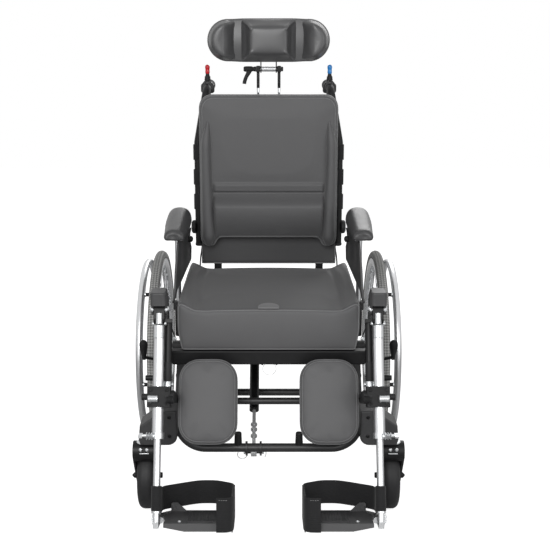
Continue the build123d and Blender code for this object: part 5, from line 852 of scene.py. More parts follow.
class WHEELCHAIR_OT_sling(bpy.types.Operator):
    """Build the sling, its bound edge and the tension straps behind it"""

    bl_idname = "wheelchair.sling"
    bl_label = "Sling and straps"

    def execute(self, context):
        half, low, high = 184, 512, 942
        sling_y = SLING_REAR_Y - 2.6
        rows = []
        for j in range(47):
            z = mix(low, high, j / 46)
            # The free hem ripples a little.
            ripple = 0.5 * smoothly((566 - z) / 40)
            places = [mix(-half, half, i / 37) for i in range(38)]
            rows.append([Vector((x, sling_y + ripple * math.sin(x / 31), z)) for x in places])
        sling = solid(form((skin, rows, False, False)), "back_sling_cloth", ALL_SMOOTH)
        modify(sling, "SOLIDIFY", thickness=1.6 * MM, offset=0)
        dress(applied(sling), "back", "woven_lining", ["back_sling"])
        corners = ((-half, 560), (-half, low), (half, low), (half, 560))
        hem = evenly([(x, sling_y, z) for x, z in corners], 6)
        hem_section = rounded_rectangle(3.2, 5, 1.2, 2)
        single("back_sling_hem", "back", "bound_cover_piping", (sweep, hem, hem_section, BACKWARD))
        straps = []
        stitches = []
        back_y = BACK_TUBE_Y + STRAP_LOOP_R + 2.4
        for z in STRAP_ROWS_Z:
            path = []
            for side in (1, -1):
                for i in range(13):
                    turn = math.radians(90 - 15 * i)
                    x = BACK_TUBE_X + STRAP_LOOP_R * math.cos(turn)
                    path.append(Vector((side * x, BACK_TUBE_Y + side * STRAP_LOOP_R * math.sin(turn), z)))
            straps += [
                (sweep, path, rounded_rectangle(2.4, 42, 1.1, 2), UP, True),
                (block, (40, back_y, z), (90, 2.2, 38), 0.9),
                (block, (70, back_y + 1.4, z), (22, 1.4, 34), 0.6),
            ]
            for x in (2, 78):
                for k in range(8):
                    stitches.append((block, (x, back_y + 1.3, z - 16 + 4 * k), (0.9, 0.7, 2.6), 0.3))
        single("back_tension_straps", "back", "polyester_webbing", *straps, replaced=["back_straps"])
        single("strap_stitching", "back", "bonded_sewing_thread", *stitches)
        return {"FINISHED"}


HEAD_HALF, HEAD_R = 161, 54.5


def head_stadium(y, inset):
    """Outline of the head rest at a depth, with its middle a little taller."""
    half = HEAD_HALF - inset
    radius = HEAD_R - inset
    points = []
    for a, b in circle(1, 64):
        x = (half - radius) * (1 if a >= 0 else -1) + radius * a
        points.append(Vector((x, y, HEAD_Z + radius * b)))
    line = evenly(points, 8, closed=True)
    for p in line:
        lift = 1 - smoothly((abs(p.x) - 62) / 40)
        p.z = HEAD_Z + (p.z - HEAD_Z) * (1 + 0.03 * lift)
    return line


def head_frustum(depth, width, height, radius):
    """A rounded rectangle of the centre pad, so far in front of the head rest's back."""
    outline = rounded_rectangle(width, height, radius, 6)
    return [Vector((x, HEAD_Y - depth, HEAD_Z + z)) for x, z in outline]


def wing_ring(depth, inset, crest):
    """Outline of the head rest's left wing, so far in front of its back, from its crest outwards."""
    radius = HEAD_R - inset
    ring = []
    for k in range(25):
        turn = math.pi * (k / 24 - 0.5)
        x = max(crest, HEAD_HALF - HEAD_R + radius * math.cos(turn))
        ring.append(Vector((x, HEAD_Y - depth, HEAD_Z + radius * math.sin(turn))))
    top, low = ring[-1].z - 4, ring[0].z + 4
    for k in range(9):
        bow = 3 * math.sin(math.pi * k / 8)
        ring.append(Vector((crest + bow, HEAD_Y - depth, mix(top, low, k / 8))))
    return ring


class WHEELCHAIR_OT_head_rest(bpy.types.Operator):
    """Build the head rest's shell, centre pad, wings and clamp fittings"""

    bl_idname = "wheelchair.head_rest"
    bl_label = "Head rest"

    def execute(self, context):
        swell = context.scene.wheelchair_cushions.pad_swell / MM
        cover = "moulded_head_cover"
        depths = ((0, 3), (1.5, 1), (4, 0), (9, 0), (12, 1.5), (14, 5))
        rings = [head_stadium(HEAD_Y - depth, inset) for depth, inset in depths]
        shell = single("head_rest_shell", "head_rest", cover, (skin, rings), sharp=60, replaced=["head_pad"])

        steps = ((11, 142, 108, 10), (14, 146, 110, 10), (18, 135, 104, 8), (26, 119, 94, 7), (36, 108, 84, 7))
        steps += ((47, 101, 74, 8), (52, 96, 68, 10), (54.5, 84, 56, 9), (53.5, 70, 44, 8))
        centre = solid(form((skin, [head_frustum(*s) for s in steps])), "head_rest_centre", ALL_SMOOTH)
        ridges = []
        for sx in (-1, 1):
            for sz in (-1, 1):
                low = (sx * 66, HEAD_Y - 17, HEAD_Z + sz * 51)
                ridges += evenly([low, (sx * 46, HEAD_Y - 52, HEAD_Z + sz * 31)], 3)
        filled_out(centre, 4, 2, ridges, lambda p: p.y > HEAD_Y - 13, 3.0, swell)
        pressed(centre, ridges, 9, -3.2)
        dress(centre, "head_rest", cover)

        steps = ((11, 3, 86), (14, 2, 87), (20, 4, 92), (30, 7, 101), (40, 10, 109), (46, 13, 114))
        steps += ((48, 17, 118),)
        wing = solid(form((skin, [wing_ring(*s) for s in steps])), "head_rest_wing", ALL_SMOOTH)
        filled_out(wing, 4, 3, [], lambda p: p.y > HEAD_Y - 13, 2.5, swell)
        for piece in dress_pair(wing, "head_rest_wing", "head_rest", cover):
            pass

        stem_y = AXLE_Y + 12
        covers = []
        for side in (-1, 1):
            x = side * HEAD_STEM_X
            covers += [
                (turned, [(0, 3.6), (1, 4), (43, 4), (44, 3.6)], (x, stem_y, HEAD_BAR_Z - 6), DOWN, 20),
                (block, (x, stem_y, HEAD_BAR_Z), (11, 18, 17), 2.2),
                (turned, [(0, 6), (4, 6.4), (6, 5)], (x + side * 5, stem_y, HEAD_BAR_Z), (side, 0, 0), 20),
            ]
        single("head_stem_covers", "head_post", "moulded_black_nylon", *covers)
        profile = [(-23.5, 6.2), (-22.8, 6.8), (22.8, 6.8), (23.5, 6.2)]
        bar = (turned, profile, (0, stem_y, HEAD_BAR_Z), OUT, 32)
        single("head_clamp_bar", "head_post", "silver_lacquered_casting", bar)
        hub = Vector((-HEAD_STEM_X - 6, stem_y, HEAD_BAR_Z))
        profile = [(0, 6.5), (2, 7), (6, 6), (9, 6), (11, 7.4), (22, 7.6), (30, 7), (33, 5)]
        bends = ((-17, 0, -2), (-20, -1, -10), (-26, -2, -21), (-30, -2, -32), (-31, -2, -39))
        handle = curve_through([hub + Vector(bend) for bend in bends], 6)
        sizes = [mix(1.45, 1.0, smoothly(2 * i / (len(handle) - 1))) for i in range(len(handle))]
        single(
            "head_clamp_ratchet_lever", "head_clamp", "moulded_black_nylon",
            (turned, profile, hub, IN, 28),
            (sweep, handle, rounded_rectangle(10, 8, 3.2, 3), BACKWARD, False, sizes),
            replaced=["head_lever"],
        )
        paint("hard_chromed_steel", "head_stem")
        paint("powder_coated_black_steel", "head_bracket")
        return {"FINISHED"}


def arm_pad_ring(front, rear, side, share):
    """Section of the left arm pad, at a share of the way from its front to its rear."""
    end = math.sqrt(max(0.0, 1 - max(0.0, 1 - share * 14) ** 2)) if share < 0.08 else 1.0
    end *= math.sqrt(max(0.0, 1 - max(0.0, share * 4 - 3) ** 3))
    wide = mix(26, 32, smoothly(share * 1.6)) * mix(0.86, 1.0, end) * mix(0.35, 1, smoothly((1 - share) * 9))
    high = mix(28, 43, smoothly(share * 1.15)) * mix(0.62, 1, end)
    centre = front.lerp(rear, share)
    ring = []
    for a, b in circle(1, 28):
        if b >= 0:
            x, z = wide * math.copysign(abs(a) ** 0.8, a), 7 + (high - 7) * b**0.85
        else:
            x, z = wide * math.copysign(abs(a) ** 0.35, a), 7 * (1 - abs(b) ** 0.5)
        ring.append(centre + side * x + Vector((0, 0, z)))
    return ring


def guard_column(u):
    """Points up the left side guard, so far behind its post."""
    turn = math.radians(2.2)
    foot = Vector((220.5, ARM_POST_Y, 0)) + Vector((-math.sin(turn), math.cos(turn), 0)) * u
    outward = Vector((math.cos(turn), math.sin(turn), 0))
    low = 508 + 18 * smoothly((u + 186) / 66) + 8 * smoothly((u + 120) / 298)
    if u > 176:
        low += 34 * smoothly((u - 176) / 16)
    high = 639.0
    if u < -70:
        high = mix(511, 639, smoothly((u + 186) / 116) ** 0.8)
    elif u > 60:
        high = 639 - 19 * (u - 60) / 126
    column = []
    for j in range(22):
        v = j / 21
        bow = 3.2 * math.sin(math.pi * v) + 1.2 * math.sin(u / 21) * math.sin(math.pi * v)
        column.append(foot + outward * (bow - 1.6) + Vector((0, 0, mix(low, max(high, low + 2), v))))
    return column


class WHEELCHAIR_OT_arm_rests(bpy.types.Operator):
    """Build the arm pads and side guards, with their fittings"""

    bl_idname = "wheelchair.arm_rests"
    bl_label = "Arm rests"

    def execute(self, context):
        front = Vector((229, AXLE_Y - 352, 644))
        rear = Vector((236, AXLE_Y - 72, 644))
        along = (rear - front).normalized()
        side = Vector((along.y, -along.x, 0))
        rings = [arm_pad_ring(front, rear, side, i / 32) for i in range(33)]
        pad = solid(form((skin, rings)), "arm_pad_foam", ALL_SMOOTH)
        modify(pad, "REMESH", mode="VOXEL", voxel_size=3.5 * MM)
        modify(pad, "SMOOTH", iterations=4)
        modify(pad, "SUBSURF", levels=1, render_levels=1)
        applied(pad)
        dimple = front + Vector((4, -2, 12))
        moved(pad, lambda p: -4.5 * (1 - smoothly((p - dimple).length / 20)))
        for piece in dress_pair(pad, "arm_pad_foam", "arm_{side}", "integral_skin_foam", ["arm_pad"]):
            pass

        columns = [guard_column(mix(-184, 190, i / 63)) for i in range(64)]
        guard = solid(form((skin, columns, False, False)), "arm_side_guard", 60)
        modify(guard, "SOLIDIFY", thickness=4 * MM, offset=0)
        modify(guard, "BEVEL", width=1.2 * MM, segments=2)
        dress_pair(applied(guard), "arm_side_guard", "arm_{side}", "moulded_grey_abs", ["arm_panel"])
        boss = [(0, 8), (3, 8), (8, 6.5), (11, 6.5)]
        knob = [(0, 7), (4, 8), (10, 8.4), (13, 7), (15, 3), (15.5, 0)]
        pair(
            "arm_fittings", "arm_{side}", "moulded_black_nylon",
            *[(turned, boss, (221, ARM_POST_Y, z), OUT, 24) for z in (565, 615)],
            (turned, knob, (217, ARM_POST_Y + 140, 598), IN, 28),
            (turned, [(0, 3), (22, 3), (24, 1.5)], (224, ARM_POST_Y - 40, 643), DOWN, 16),
        )
        paint("anodised_aluminium_tube", "arm_post_{side}")
        return {"FINISHED"}


class WHEELCHAIR_OT_push_handles(bpy.types.Operator):
    """Build the push grips and the two release levers"""

    bl_idname = "wheelchair.push_handles"
    bl_label = "Push handles"

    def execute(self, context):
        profile = [(0, 11.5), (0.5, 17.5), (5, 18), (7, 15.2)]
        for k in range(14):
            profile += [(9 + 5.6 * k, 15.4), (11 + 5.6 * k, 16.1), (13 + 5.6 * k, 15.4)]
        profile += [(90, 15.8), (96, 15.6), (98.5, 12), (99, 0)]
        handle = form((turned, profile, (GRIP_X, GRIP_START_Y, GRIP_Z), BACKWARD, 40))
        grip = solid(handle, "push_grip_left", 50)
        other = twin(grip, "push_grip_right")
        dress(grip, "back", "soft_vinyl_grip", ["push_grips"])
        dress(other, "back", "soft_vinyl_grip")

        def from_grip(side, *places):
            return [Vector((GRIP_X + side * x, LEVER_Y - y, GRIP_Z + z)) for x, y, z in places]

        collar = [(0, 13), (1, 15.6), (3, 16.2), (15, 16.2), (17, 15), (18, 12)]
        bar = rounded_rectangle(5.4, 9, 2.4, 3)
        ends = ((6.8, 4, 16), (7.6, 8, 2), (6.6, 10, -14), (5.2, 8, -24))
        pair(
            "lever_bracket", "back", "coated_cast_aluminium",
            (turned, collar, (GRIP_X, LEVER_Y + 9.5, GRIP_Z), FORWARD, 32),
            (block, (GRIP_X, LEVER_Y + 1, GRIP_Z - 3), (37, 15, 27), 7.0),
            *[(sweep, curve_through(from_grip(side, *ends), 6), bar, BACKWARD) for side in (-1, 1)],
            (sweep, curve_through(from_grip(1, (0, 10, -2), (0, 12, -22)), 5), rounded_rectangle(6, 4, 1.6, 3),
             BACKWARD),
            sharp=40,
        )
        levers = context.scene.wheelchair_levers
        neck = [(20, 8.2), (22, 8.6), (27, 7.6), (33, 5.8), (38, 4.8), (40, 4.4)]
        tip = [(38, 5.0), (39, 5.8), (42, 6.2), (46, 6.0), (49, 5.7), (52, 6.2), (55, 6.6), (58, 6.3)]
        tip += [(60, 5.2), (61.5, 3.6), (62.3, 1.8), (62.5, 0)]
        for side, body, node, finish_name, colour in (
            (-1, "tilt_release", "tilt_lever", "glossy_red_nylon", levers.tilt),
            (1, "recline_release", "recline_lever", "glossy_blue_nylon", levers.recline),
        ):
            material(finish_name, colour)
            foot = Vector((side * GRIP_X, LEVER_Y, GRIP_Z - 2))
            single(
                f"{node}_neck", body, "moulded_black_nylon",
                (turned, neck, foot, UP, 24),
                (block, foot + Vector((0, 0, 19)), (7.4, 11, 12), 1.6),
                replaced=[node],
            )
            single(f"{node}_tip", body, finish_name, (turned, tip, foot, UP, 28), sharp=ALL_SMOOTH)
        return {"FINISHED"}


class WHEELCHAIR_OT_release_cables(bpy.types.Operator):
    """Lay the two release cables from the levers to the springs' linkage"""

    bl_idname = "wheelchair.release_cables"
    bl_label = "Release cables"

    def execute(self, context):
        # Behind the tubes, their straps in two layers and the cable's own radius, with a gap.
        cable_y = BACK_TUBE_Y + BACK_TUBE_R + 0.4 + 2 * 2.5 + 2 + 2
        end_y, end_z = AXLE_Y + 10, 445
        route = [
            (GRIP_X, LEVER_Y, GRIP_Z - 17),
            (GRIP_X, LEVER_Y, GRIP_Z - 45),
            (BACK_TUBE_X - 20, cable_y + 5, 905),
            (BACK_TUBE_X - 18, cable_y + 1, 830),
            (BACK_TUBE_X - 16, cable_y, 750),
            (BACK_TUBE_X - 12, cable_y, 661),
            (BACK_TUBE_X - 8, cable_y - 4, 562),
            (BACK_TUBE_X + 1, BACK_TUBE_Y + 2, 507),
            (BACK_TUBE_X - 4, end_y, 448),
            (156, end_y, end_z),
        ]
        for side, word in ((1, "left"), (-1, "right")):
            data = bpy.data.curves.new(f"release_cable_{word}", "CURVE")
            data.dimensions = "3D"
            data.bevel_depth = 2 * MM
            data.bevel_resolution = 3
            data.use_fill_caps = True
            line = data.splines.new("NURBS")
            line.points.add(len(route) - 1)
            for point, (x, y, z) in zip(line.points, route):
                point.co = (side * x * MM, y * MM, z * MM, 1)
            line.order_u = 3
            line.use_endpoint_u = True
            line.resolution_u = 12
            cable = new_object(f"release_cable_{word}", data)
            dress(cable, "back", "extruded_cable_sheath", ["release_cables"] if side > 0 else ())
            top = (side * GRIP_X, LEVER_Y, GRIP_Z - 15)
            end = (side * 152, end_y, end_z)
            single(
                f"cable_ferrules_{word}", "back", "moulded_black_nylon",
                (turned, [(0, 4), (6, 4), (8, 3), (16, 2.8)], top, DOWN, 16),
                (turned, [(-2, 4.2), (5, 4.2), (7, 3.2), (12, 2.8)], end, (side, 0, 0), 16),
            )
        return {"FINISHED"}


class WHEELCHAIR_OT_rear_wheels(bpy.types.Operator):
    """Finish the rear wheels with nipples, valves and hand rim sleeves"""

    bl_idname = "wheelchair.rear_wheels"
    bl_label = "Rear wheels"

    def execute(self, context):
        paint("moulded_grey_tyre_rubber", "rear_tyre_{side}")
        paint("polished_aluminium_rim", "rear_wheel_{side}")
        paint("anodised_aluminium_tube", "handrim_{side}")
        nipples = []
        for group in range(9):
            for number, (height, lean) in enumerate(((-19.6, 1), (16.4, 1), (-20.4, -1), (15.6, -1))):
                rim_angle = group * 40 + number * 10
                seat = wheel_point(WHEEL_X, SPOKE_SEAT_R, rim_angle)
                flange = wheel_point(WHEEL_X + height, 18, rim_angle + lean * 50)
                nipples.append((turned, [(0, 2.6), (11, 2.4), (13, 1.8)], seat, flange - seat, 8))
        pair("spoke_nipples", "wheel_{side}", "zinc_plated_steel", *nipples)

        def at_feet(profile, out):
            feet = [wheel_point(WHEEL_X + out, HANDRIM_FOOT_R, 8 + 60 * k) for k in range(6)]
            return [(turned, profile, foot, OUT, 20) for foot in feet]

        seat = wheel_point(WHEEL_X, SPOKE_SEAT_R, 95)
        valve = [(0, 4), (6, 3.6), (22, 3.4), (24, 4), (33, 4), (35, 3)]
        pair(
            "handrim_sleeves", "wheel_{side}", "moulded_black_nylon",
            *at_feet([(0, 6.5), (2, 6.5), (4, 5.2), (14, 5.2)], 12),
            (turned, valve, seat, wheel_point(WHEEL_X, 0, 0) - seat, 16),
        )
        washers = at_feet([(-1, 6.4), (2, 6.4), (3, 5)], 25)
        pair("handrim_washers", "wheel_{side}", "zinc_plated_steel", *washers)
        return {"FINISHED"}


def castor_rings(profile):
    """Rings of a castor wheel, from pairs of distance along its axle and radius."""
    turns = circle(1, 72)
    return [[Vector((CASTOR_X + x, CASTOR_Y + r * a, CASTOR_Z + r * b)) for a, b in turns] for x, r in profile]


class WHEELCHAIR_OT_castors(bpy.types.Operator):
    """Build the castor tyres, hubs and fork fasteners"""

    bl_idname = "wheelchair.castors"
    bl_label = "Castors"

    def execute(self, context):
        axle = (CASTOR_X, CASTOR_Y, CASTOR_Z)
        half, big, small, edge = 20, 80, 46, 15
        profile = [(-half + 1, small), (-half, small + 2), (-half, big - edge)]
        for k in range(1, 9):
            turn = math.pi / 2 * k / 8
            profile.append((-half + edge * (1 - math.cos(turn)), big - edge + edge * math.sin(turn)))
        profile += [(-x, r) for x, r in reversed(profile)]
        pair(
            "castor_tyre", "castor_{side}", "cast_polyurethane_tyre",
            (skin, castor_rings(profile), True, True, True), sharp=30, replaced=["castor_wheel"],
        )
        rim = [(-18, 41), (-19.2, 43), (-19, 46.2), (19, 46.2), (19.2, 43), (18, 41)]
        rim += [(12, 40), (3, 39), (-3, 39), (-12, 40)]
        turns = [Matrix.Rotation(2 * math.pi * k / 5, 3, "X") for k in range(5)]
        pair(
            "castor_hub", "castor_{side}", "moulded_grey_abs",
            (skin, castor_rings(rim), True, True, True),
            (turned, [(-4, 40), (-3, 40.5), (3, 40.5), (4, 40)], axle, OUT, 72),
            (turned, [(-19.5, 9), (-19.5, 13), (-18, 14), (18, 14), (19.5, 13), (19.5, 9)], axle, OUT, 32),
            *[(block, Vector(axle) + turn @ Vector((0, 0, 27)), (26, 7, 30), 2.4, turn) for turn in turns],
            slot="castor_tyre",
        )
        pair(
            "castor_axle_nuts", "castor_swivel_{side}", "powder_coated_black_steel",
            (acorn, (CASTOR_X + 28, CASTOR_Y, CASTOR_Z), OUT, 13, 12),
            (hexagon, (CASTOR_X - 28, CASTOR_Y, CASTOR_Z), IN, 13, 6.5),
            (turned, [(0, 9), (1.6, 9)], (CASTOR_X + 27, CASTOR_Y, CASTOR_Z), OUT, 24),
        )
        crown = Vector((CASTOR_X, STEM_Y, 188))
        pair(
            "castor_fork_screws", "castor_swivel_{side}", "zinc_plated_steel",
            (turned, [(-1.5, 20), (-0.4, 20), (0.6, 18), (1.2, 12)], crown, UP, 32),
            *[(button, crown + Vector((x, -24, -12)), (0, -1, 0.15), 4.6, 3) for x in (-7, 8)],
            (block, crown + Vector((0, -24.5, -22)), (22, 2.4, 3.4), 0.8),
        )
        paint("powder_coated_black_steel", "castor_fork_{side}")
        return {"FINISHED"}


class WHEELCHAIR_OT_base_frame(bpy.types.Operator):
    """Finish the base frame, its screws, bumpers, pins and anti-tip wheels"""

    bl_idname = "wheelchair.base_frame"
    bl_label = "Base frame"

    def execute(self, context):
        paint("powder_coated_graphite_tube", "front_tube", "cross_tubes")
        paint("coated_cast_aluminium", "side_frame_{side}")
        paint("powder_coated_black_steel", "anti_tip_arm_{side}")
        paint("moulded_grey_abs", "anti_tip_wheel_{side}")
        pair(
            "frame_screws", "chassis", "powder_coated_black_steel",
            *[(button, (233, HOUSING_FRONT_Y + 1.6, z), FORWARD, 4, 2.2) for z in (213, 260)],
            (hexagon, (230, TILT_Y, TILT_Z), OUT, 17, 7),
            (hexagon, (231, AXLE_Y - 400, 253), OUT, 13, 4),
            (hexagon, (229, AXLE_Y - 200, 203), OUT, 13, 5),
            *[(button, (229, AXLE_Y - ahead, z), OUT, 6, 3.4) for ahead, z in ((60, 246), (345, 300))],
        )
        bumper = [(8, 8.6), (11, 9.4), (30, 8.6), (36, 8.6), (38.5, 7.4), (39, 0)]
        bumpers = [(turned, bumper, (x, FRONT_TUBE_Y, FRONT_TUBE_Z), UP, 28) for x in (-73, 73)]
        single("frame_bumpers", "chassis", "soft_vinyl_grip", *bumpers)
        y, z = SPRING_PIN_Y, SPRING_PIN_Z
        clip = [(-13, y, z + 1), (-8, y, z + 2), (-6, y, z - 4), (-9, y, z - 14)]
        head = [(0, 5.5), (2.5, 5.5), (3.5, 3.6)]
        single(
            "spring_pin_clips", "chassis", "zinc_plated_steel",
            (torus, (-64, y, z - 7), (0, 1, 0.2), 11.5, 0.8, 0.72),
            (turned, head, (-57, y, z), IN, 20),
            (turned, head, (-15, y, z), OUT, 20),
            (sweep, curve_through(clip, 6), circle(0.8, 8)),
        )
        return {"FINISHED"}


class WHEELCHAIR_OT_brakes(bpy.types.Operator):
    """Finish the wheel brakes with their knobs and screws"""

    bl_idname = "wheelchair.brakes"
    bl_label = "Wheel brakes"

    def execute(self, context):
        paint("powder_coated_black_steel", "brake_lever_{side}")
        pivot_y = AXLE_Y - 296
        foot = Vector((309, pivot_y - 60, 352))
        lean = Vector((0, -0.25, 1)).normalized()
        knob = [(-6, 4.6), (-4, 5.4), (6, 6.2), (18, 8.0), (30, 10.0), (36, 10.5), (41, 9.8)]
        knob += [(45, 7.6), (47.5, 4.4), (48.5, 0)]
        pair("brake_knob", "brake_{side}", "soft_vinyl_grip", (turned, knob, foot, lean, 28), sharp=60)
        pair(
            "brake_screws", "brake_{side}", "zinc_plated_steel",
            (button, (284, pivot_y, 322), OUT, 7, 4),
            (button, (284, AXLE_Y - 289, 274), OUT, 5, 3),
        )
        return {"FINISHED"}


class WHEELCHAIR_OT_seat_frame(bpy.types.Operator):
    """Finish the seat and back frames, with their sockets, knobs and screws"""

    bl_idname = "wheelchair.seat_frame"
    bl_label = "Seat and back frame"

    def execute(self, context):
        paint("powder_coated_black_steel", "seat_frame", "back_frame")
        cap = [(0, 8), (0.5, 12.6), (1.5, 14), (-19, 14.2), (-20, 12)]
        screw = [(0, 4), (6, 4), (7, 8.5), (16, 9), (18, 7), (18.5, 0)]
        pair(
            "arm_socket_caps", "seat", "moulded_black_nylon",
            (turned, cap, (ARM_POST_X, ARM_POST_Y, 462), UP, 28),
            (turned, screw, (ARM_POST_X, ARM_POST_Y - 10, 450), FORWARD, 8),
        )
        pair(
            "seat_screws", "seat", "zinc_plated_steel",
            (hexagon, (HANGER_PIN_X, HANGER_PIN_Y, 370.5), DOWN, 13, 5),
            *[(button, (x, AXLE_Y + 10, 420), way, 8, 3) for x, way in ((122, IN), (160, OUT))],
        )
        knob = [(0, 16), (1, 18.5), (4, 19), (9, 18), (12, 13), (13, 0)]
        plug = [(0, 10.7), (0.5, 11.4), (6, 11.4), (8, 9)]
        pair(
            "back_knobs", "back", "moulded_black_nylon",
            (turned, knob, (BACK_TUBE_X + 9, BACK_TUBE_Y, 611), OUT, 14),
            (turned, plug, (BACK_TUBE_X, BACK_TUBE_Y, 566), DOWN, 28),
        )
        ring = (torus, (2, SEAT_FRONT_Y + 22, 354), (0, 1, 0.1), 16, 0.5)
        single("seat_key_ring", "seat", "zinc_plated_steel", ring)
        return {"FINISHED"}


class WHEELCHAIR_OT_leg_rests(bpy.types.Operator):
    """Finish the leg rests with their bolts, sleeves and screws"""

    bl_idname = "wheelchair.leg_rests"
    bl_label = "Leg rests"

    def execute(self, context):
        paint("moulded_grey_abs", "hanger_{side}")
        paint("powder_coated_black_steel", "leg_bracket_{side}")
        paint("anodised_aluminium_tube", "leg_tube_{side}", "lower_tube_{side}")
        paint("moulded_black_nylon", "calf_clamp_{side}")
        down = leg_down()
        screws = []
        for side in (-1, 1):
            screws += [
                (button, (KNEE_X + side * 18, KNEE_Y, KNEE_Z), (side, 0, 0), 7, 4),
                (button, (KNEE_X + side * 16, KNEE_Y - 13, KNEE_Z + 2), FORWARD, 4.4, 2.6),
            ]
        pair("knee_screws", "hanger_{side}", "zinc_plated_steel", *screws)
        # Behind the leg's tube a thinner strut carries the calf pad's bracket.
        strut_x, strut_back = 228.5, 14
        strut_end = [(-12, 8.8), (-11, 9.2), (1, 9.2), (2, 8)]
        pair(
            "leg_screws", "leg_{side}", "zinc_plated_steel",
            *[(button, leg_point(KNEE_X + side * 13.5, 34, -6), (side, -0.4, 0), 4.6, 3.4) for side in (-1, 1)],
            (turned, [(0, 7), (1, 8), (25, 8), (29, 12.6)], leg_point(KNEE_X, 10, -8), down, 32),
            (turned, [(0, 11.5), (1, 12.6), (29, 12.6)], leg_point(KNEE_X, 38, -6), down, 32),
            (turned, strut_end, leg_point(strut_x, 175.5, strut_back), down, 24),
            (button, leg_point(219, 170, strut_back), IN, 5, 4),
        )
        knob = [(0, 6.5), (1, 8)]
        for k in range(6):
            knob += [(2.5 + 3.2 * k, 8.3), (4.1 + 3.2 * k, 7.7)]
        knob += [(21.5, 8.2), (23, 6.5), (23.4, 0)]
        wing = leg_point(KNEE_X + 5, 286, -13)
        pair(
            "leg_knobs", "leg_{side}", "zinc_plated_steel",
            (turned, knob, leg_point(KNEE_X - 2, 204, -21), OUT, 24),
            (turned, [(0, 6), (3, 6.4), (6, 4)], wing, OUT, 20),
            *[(block, wing + Vector((6 + 3 * k, 0, 0)), (1.8, 8.5, 15 - 5 * (k % 2)), 0.6) for k in range(5)],
        )
        knurls = [(0, 8)]
        for k in range(5):
            knurls += [(1 + 3 * k, 9.4), (2.5 + 3 * k, 8.4)]
        knurls += [(16, 9), (17, 6), (17.4, 0)]
        sleeve = [(0, 8.6), (0.6, 9.1), (42, 9.1), (43, 8.6)]
        clamp = [(x, along) for x in (264, 227) for along in (184, 214)]
        pair(
            "leg_black_fittings", "leg_{side}", "moulded_black_nylon",
            *[(button, leg_point(x, along, -16.6), -leg_back(), 4.6, 3) for x, along in clamp],
            (turned, knurls, leg_point(228, 206, -14), IN, 24),
            (turned, sleeve, leg_point(strut_x, 120, strut_back), down, 24),
        )
        band = [(-0.4, 8.2), (0, 10.9), (1, 11.6), (53, 11.6), (54, 10.9), (54.4, 8.2)]
        band = (turned, band, leg_point(KNEE_X, 395, 0), down, 32)
        pair("strap_sleeve", "lower_leg_{side}", "polyester_webbing", band)
        lean = Matrix.Rotation(-LEG_LEAN, 3, "X")
        pair(
            "foot_adjuster", "lower_leg_{side}", "zinc_plated_steel",
            *[(block, leg_point(KNEE_X + 9, 458 + 4 * k, 0), (5 + 2 * (k % 2), 7, 2.4), 0.6, lean)
              for k in range(5)],
        )
        collar = [(0, 12), (2, 12.8), (18, 12.8), (20, 10)]
        link = curve_through([(236, AXLE_Y - 462, 470), (228, AXLE_Y - 466, 452), (221, AXLE_Y - 466, 432)], 5)
        pair(
            "hanger_latch", "hanger_{side}", "powder_coated_black_steel",
            (turned, collar, (HANGER_PIN_X, HANGER_PIN_Y, 418), UP, 28),
            (sweep, link, rounded_rectangle(7, 5, 1.6, 2), BACKWARD),
        )
        pair(
            "hanger_latch_screws", "hanger_{side}", "zinc_plated_steel",
            (button, (236, AXLE_Y - 466, 468), FORWARD, 5, 3.4),
            (button, (222, AXLE_Y - 469, 434), FORWARD, 5.4, 3.4),
            (block, (229, AXLE_Y - 467.5, 451), (4, 3, 26), 1, Matrix.Rotation(math.radians(22), 3, "Y")),
        )
        return {"FINISHED"}


def calf_outline(inset, behind):
    """Outline of the calf pad at a distance behind the leg's line."""
    centre_x = 73 + 135 / 2
    points = []
    for x, h in rounded_rectangle(135 - 2 * inset, 195 - 2 * inset, 46 - inset * 0.7, 8):
        points.append(leg_point(centre_x + x, 206 - h, behind))
    return points


class WHEELCHAIR_OT_calf_pads(bpy.types.Operator):
    """Build the calf pads on their shells"""

    bl_idname = "wheelchair.calf_pads"
    bl_label = "Calf pads"

    def execute(self, context):
        swell = context.scene.wheelchair_cushions.pad_swell / MM
        steps = ((88, 2), (86, 0.5), (80, 0), (72, 0.5), (67, 3), (64, 8), (62.5, 16))
        rings = [calf_outline(inset, behind) for behind, inset in steps]
        pad = solid(form((skin, rings)), "calf_pad_cover", ALL_SMOOTH)
        seam = evenly(calf_outline(0.5, 80), 4, closed=True)
        face = evenly(calf_outline(4, 66), 4, closed=True)
        limit = leg_point(0, 199, 85)
        back = leg_back()
        filled_out(pad, 5, 2, seam, lambda p: (p - limit).dot(back) > 0, 3.0, swell)
        pressed(pad, face, 4, 0.7)
        for piece in dress_pair(pad, "calf_pad_cover", "calf_{side}", "coated_stretch_cover", ["calf_pad"]):
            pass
        for name, path, radius in (("calf_piping", seam, 1.4), ("calf_face_seam", face, 0.8)):
            dress_pair(piping(name, path, radius, pad, True), name, "calf_{side}", "bound_cover_piping")
        rings = [calf_outline(inset, behind) for behind, inset in ((88, 5), (90, 5), (92.5, 6), (93, 9))]
        lean = Matrix.Rotation(-LEG_LEAN, 3, "X")
        pair(
            "calf_pad_shell", "calf_{side}", "moulded_black_nylon",
            (skin, rings),
            (block, leg_point(140.5, 199, 101), (104, 17, 31), 3, lean),
            *[(block, leg_point(140.5, 199 + side * 50, 95.5), (70, 5, 44), 1.6, lean) for side in (-1, 1)],
        )
        return {"FINISHED"}


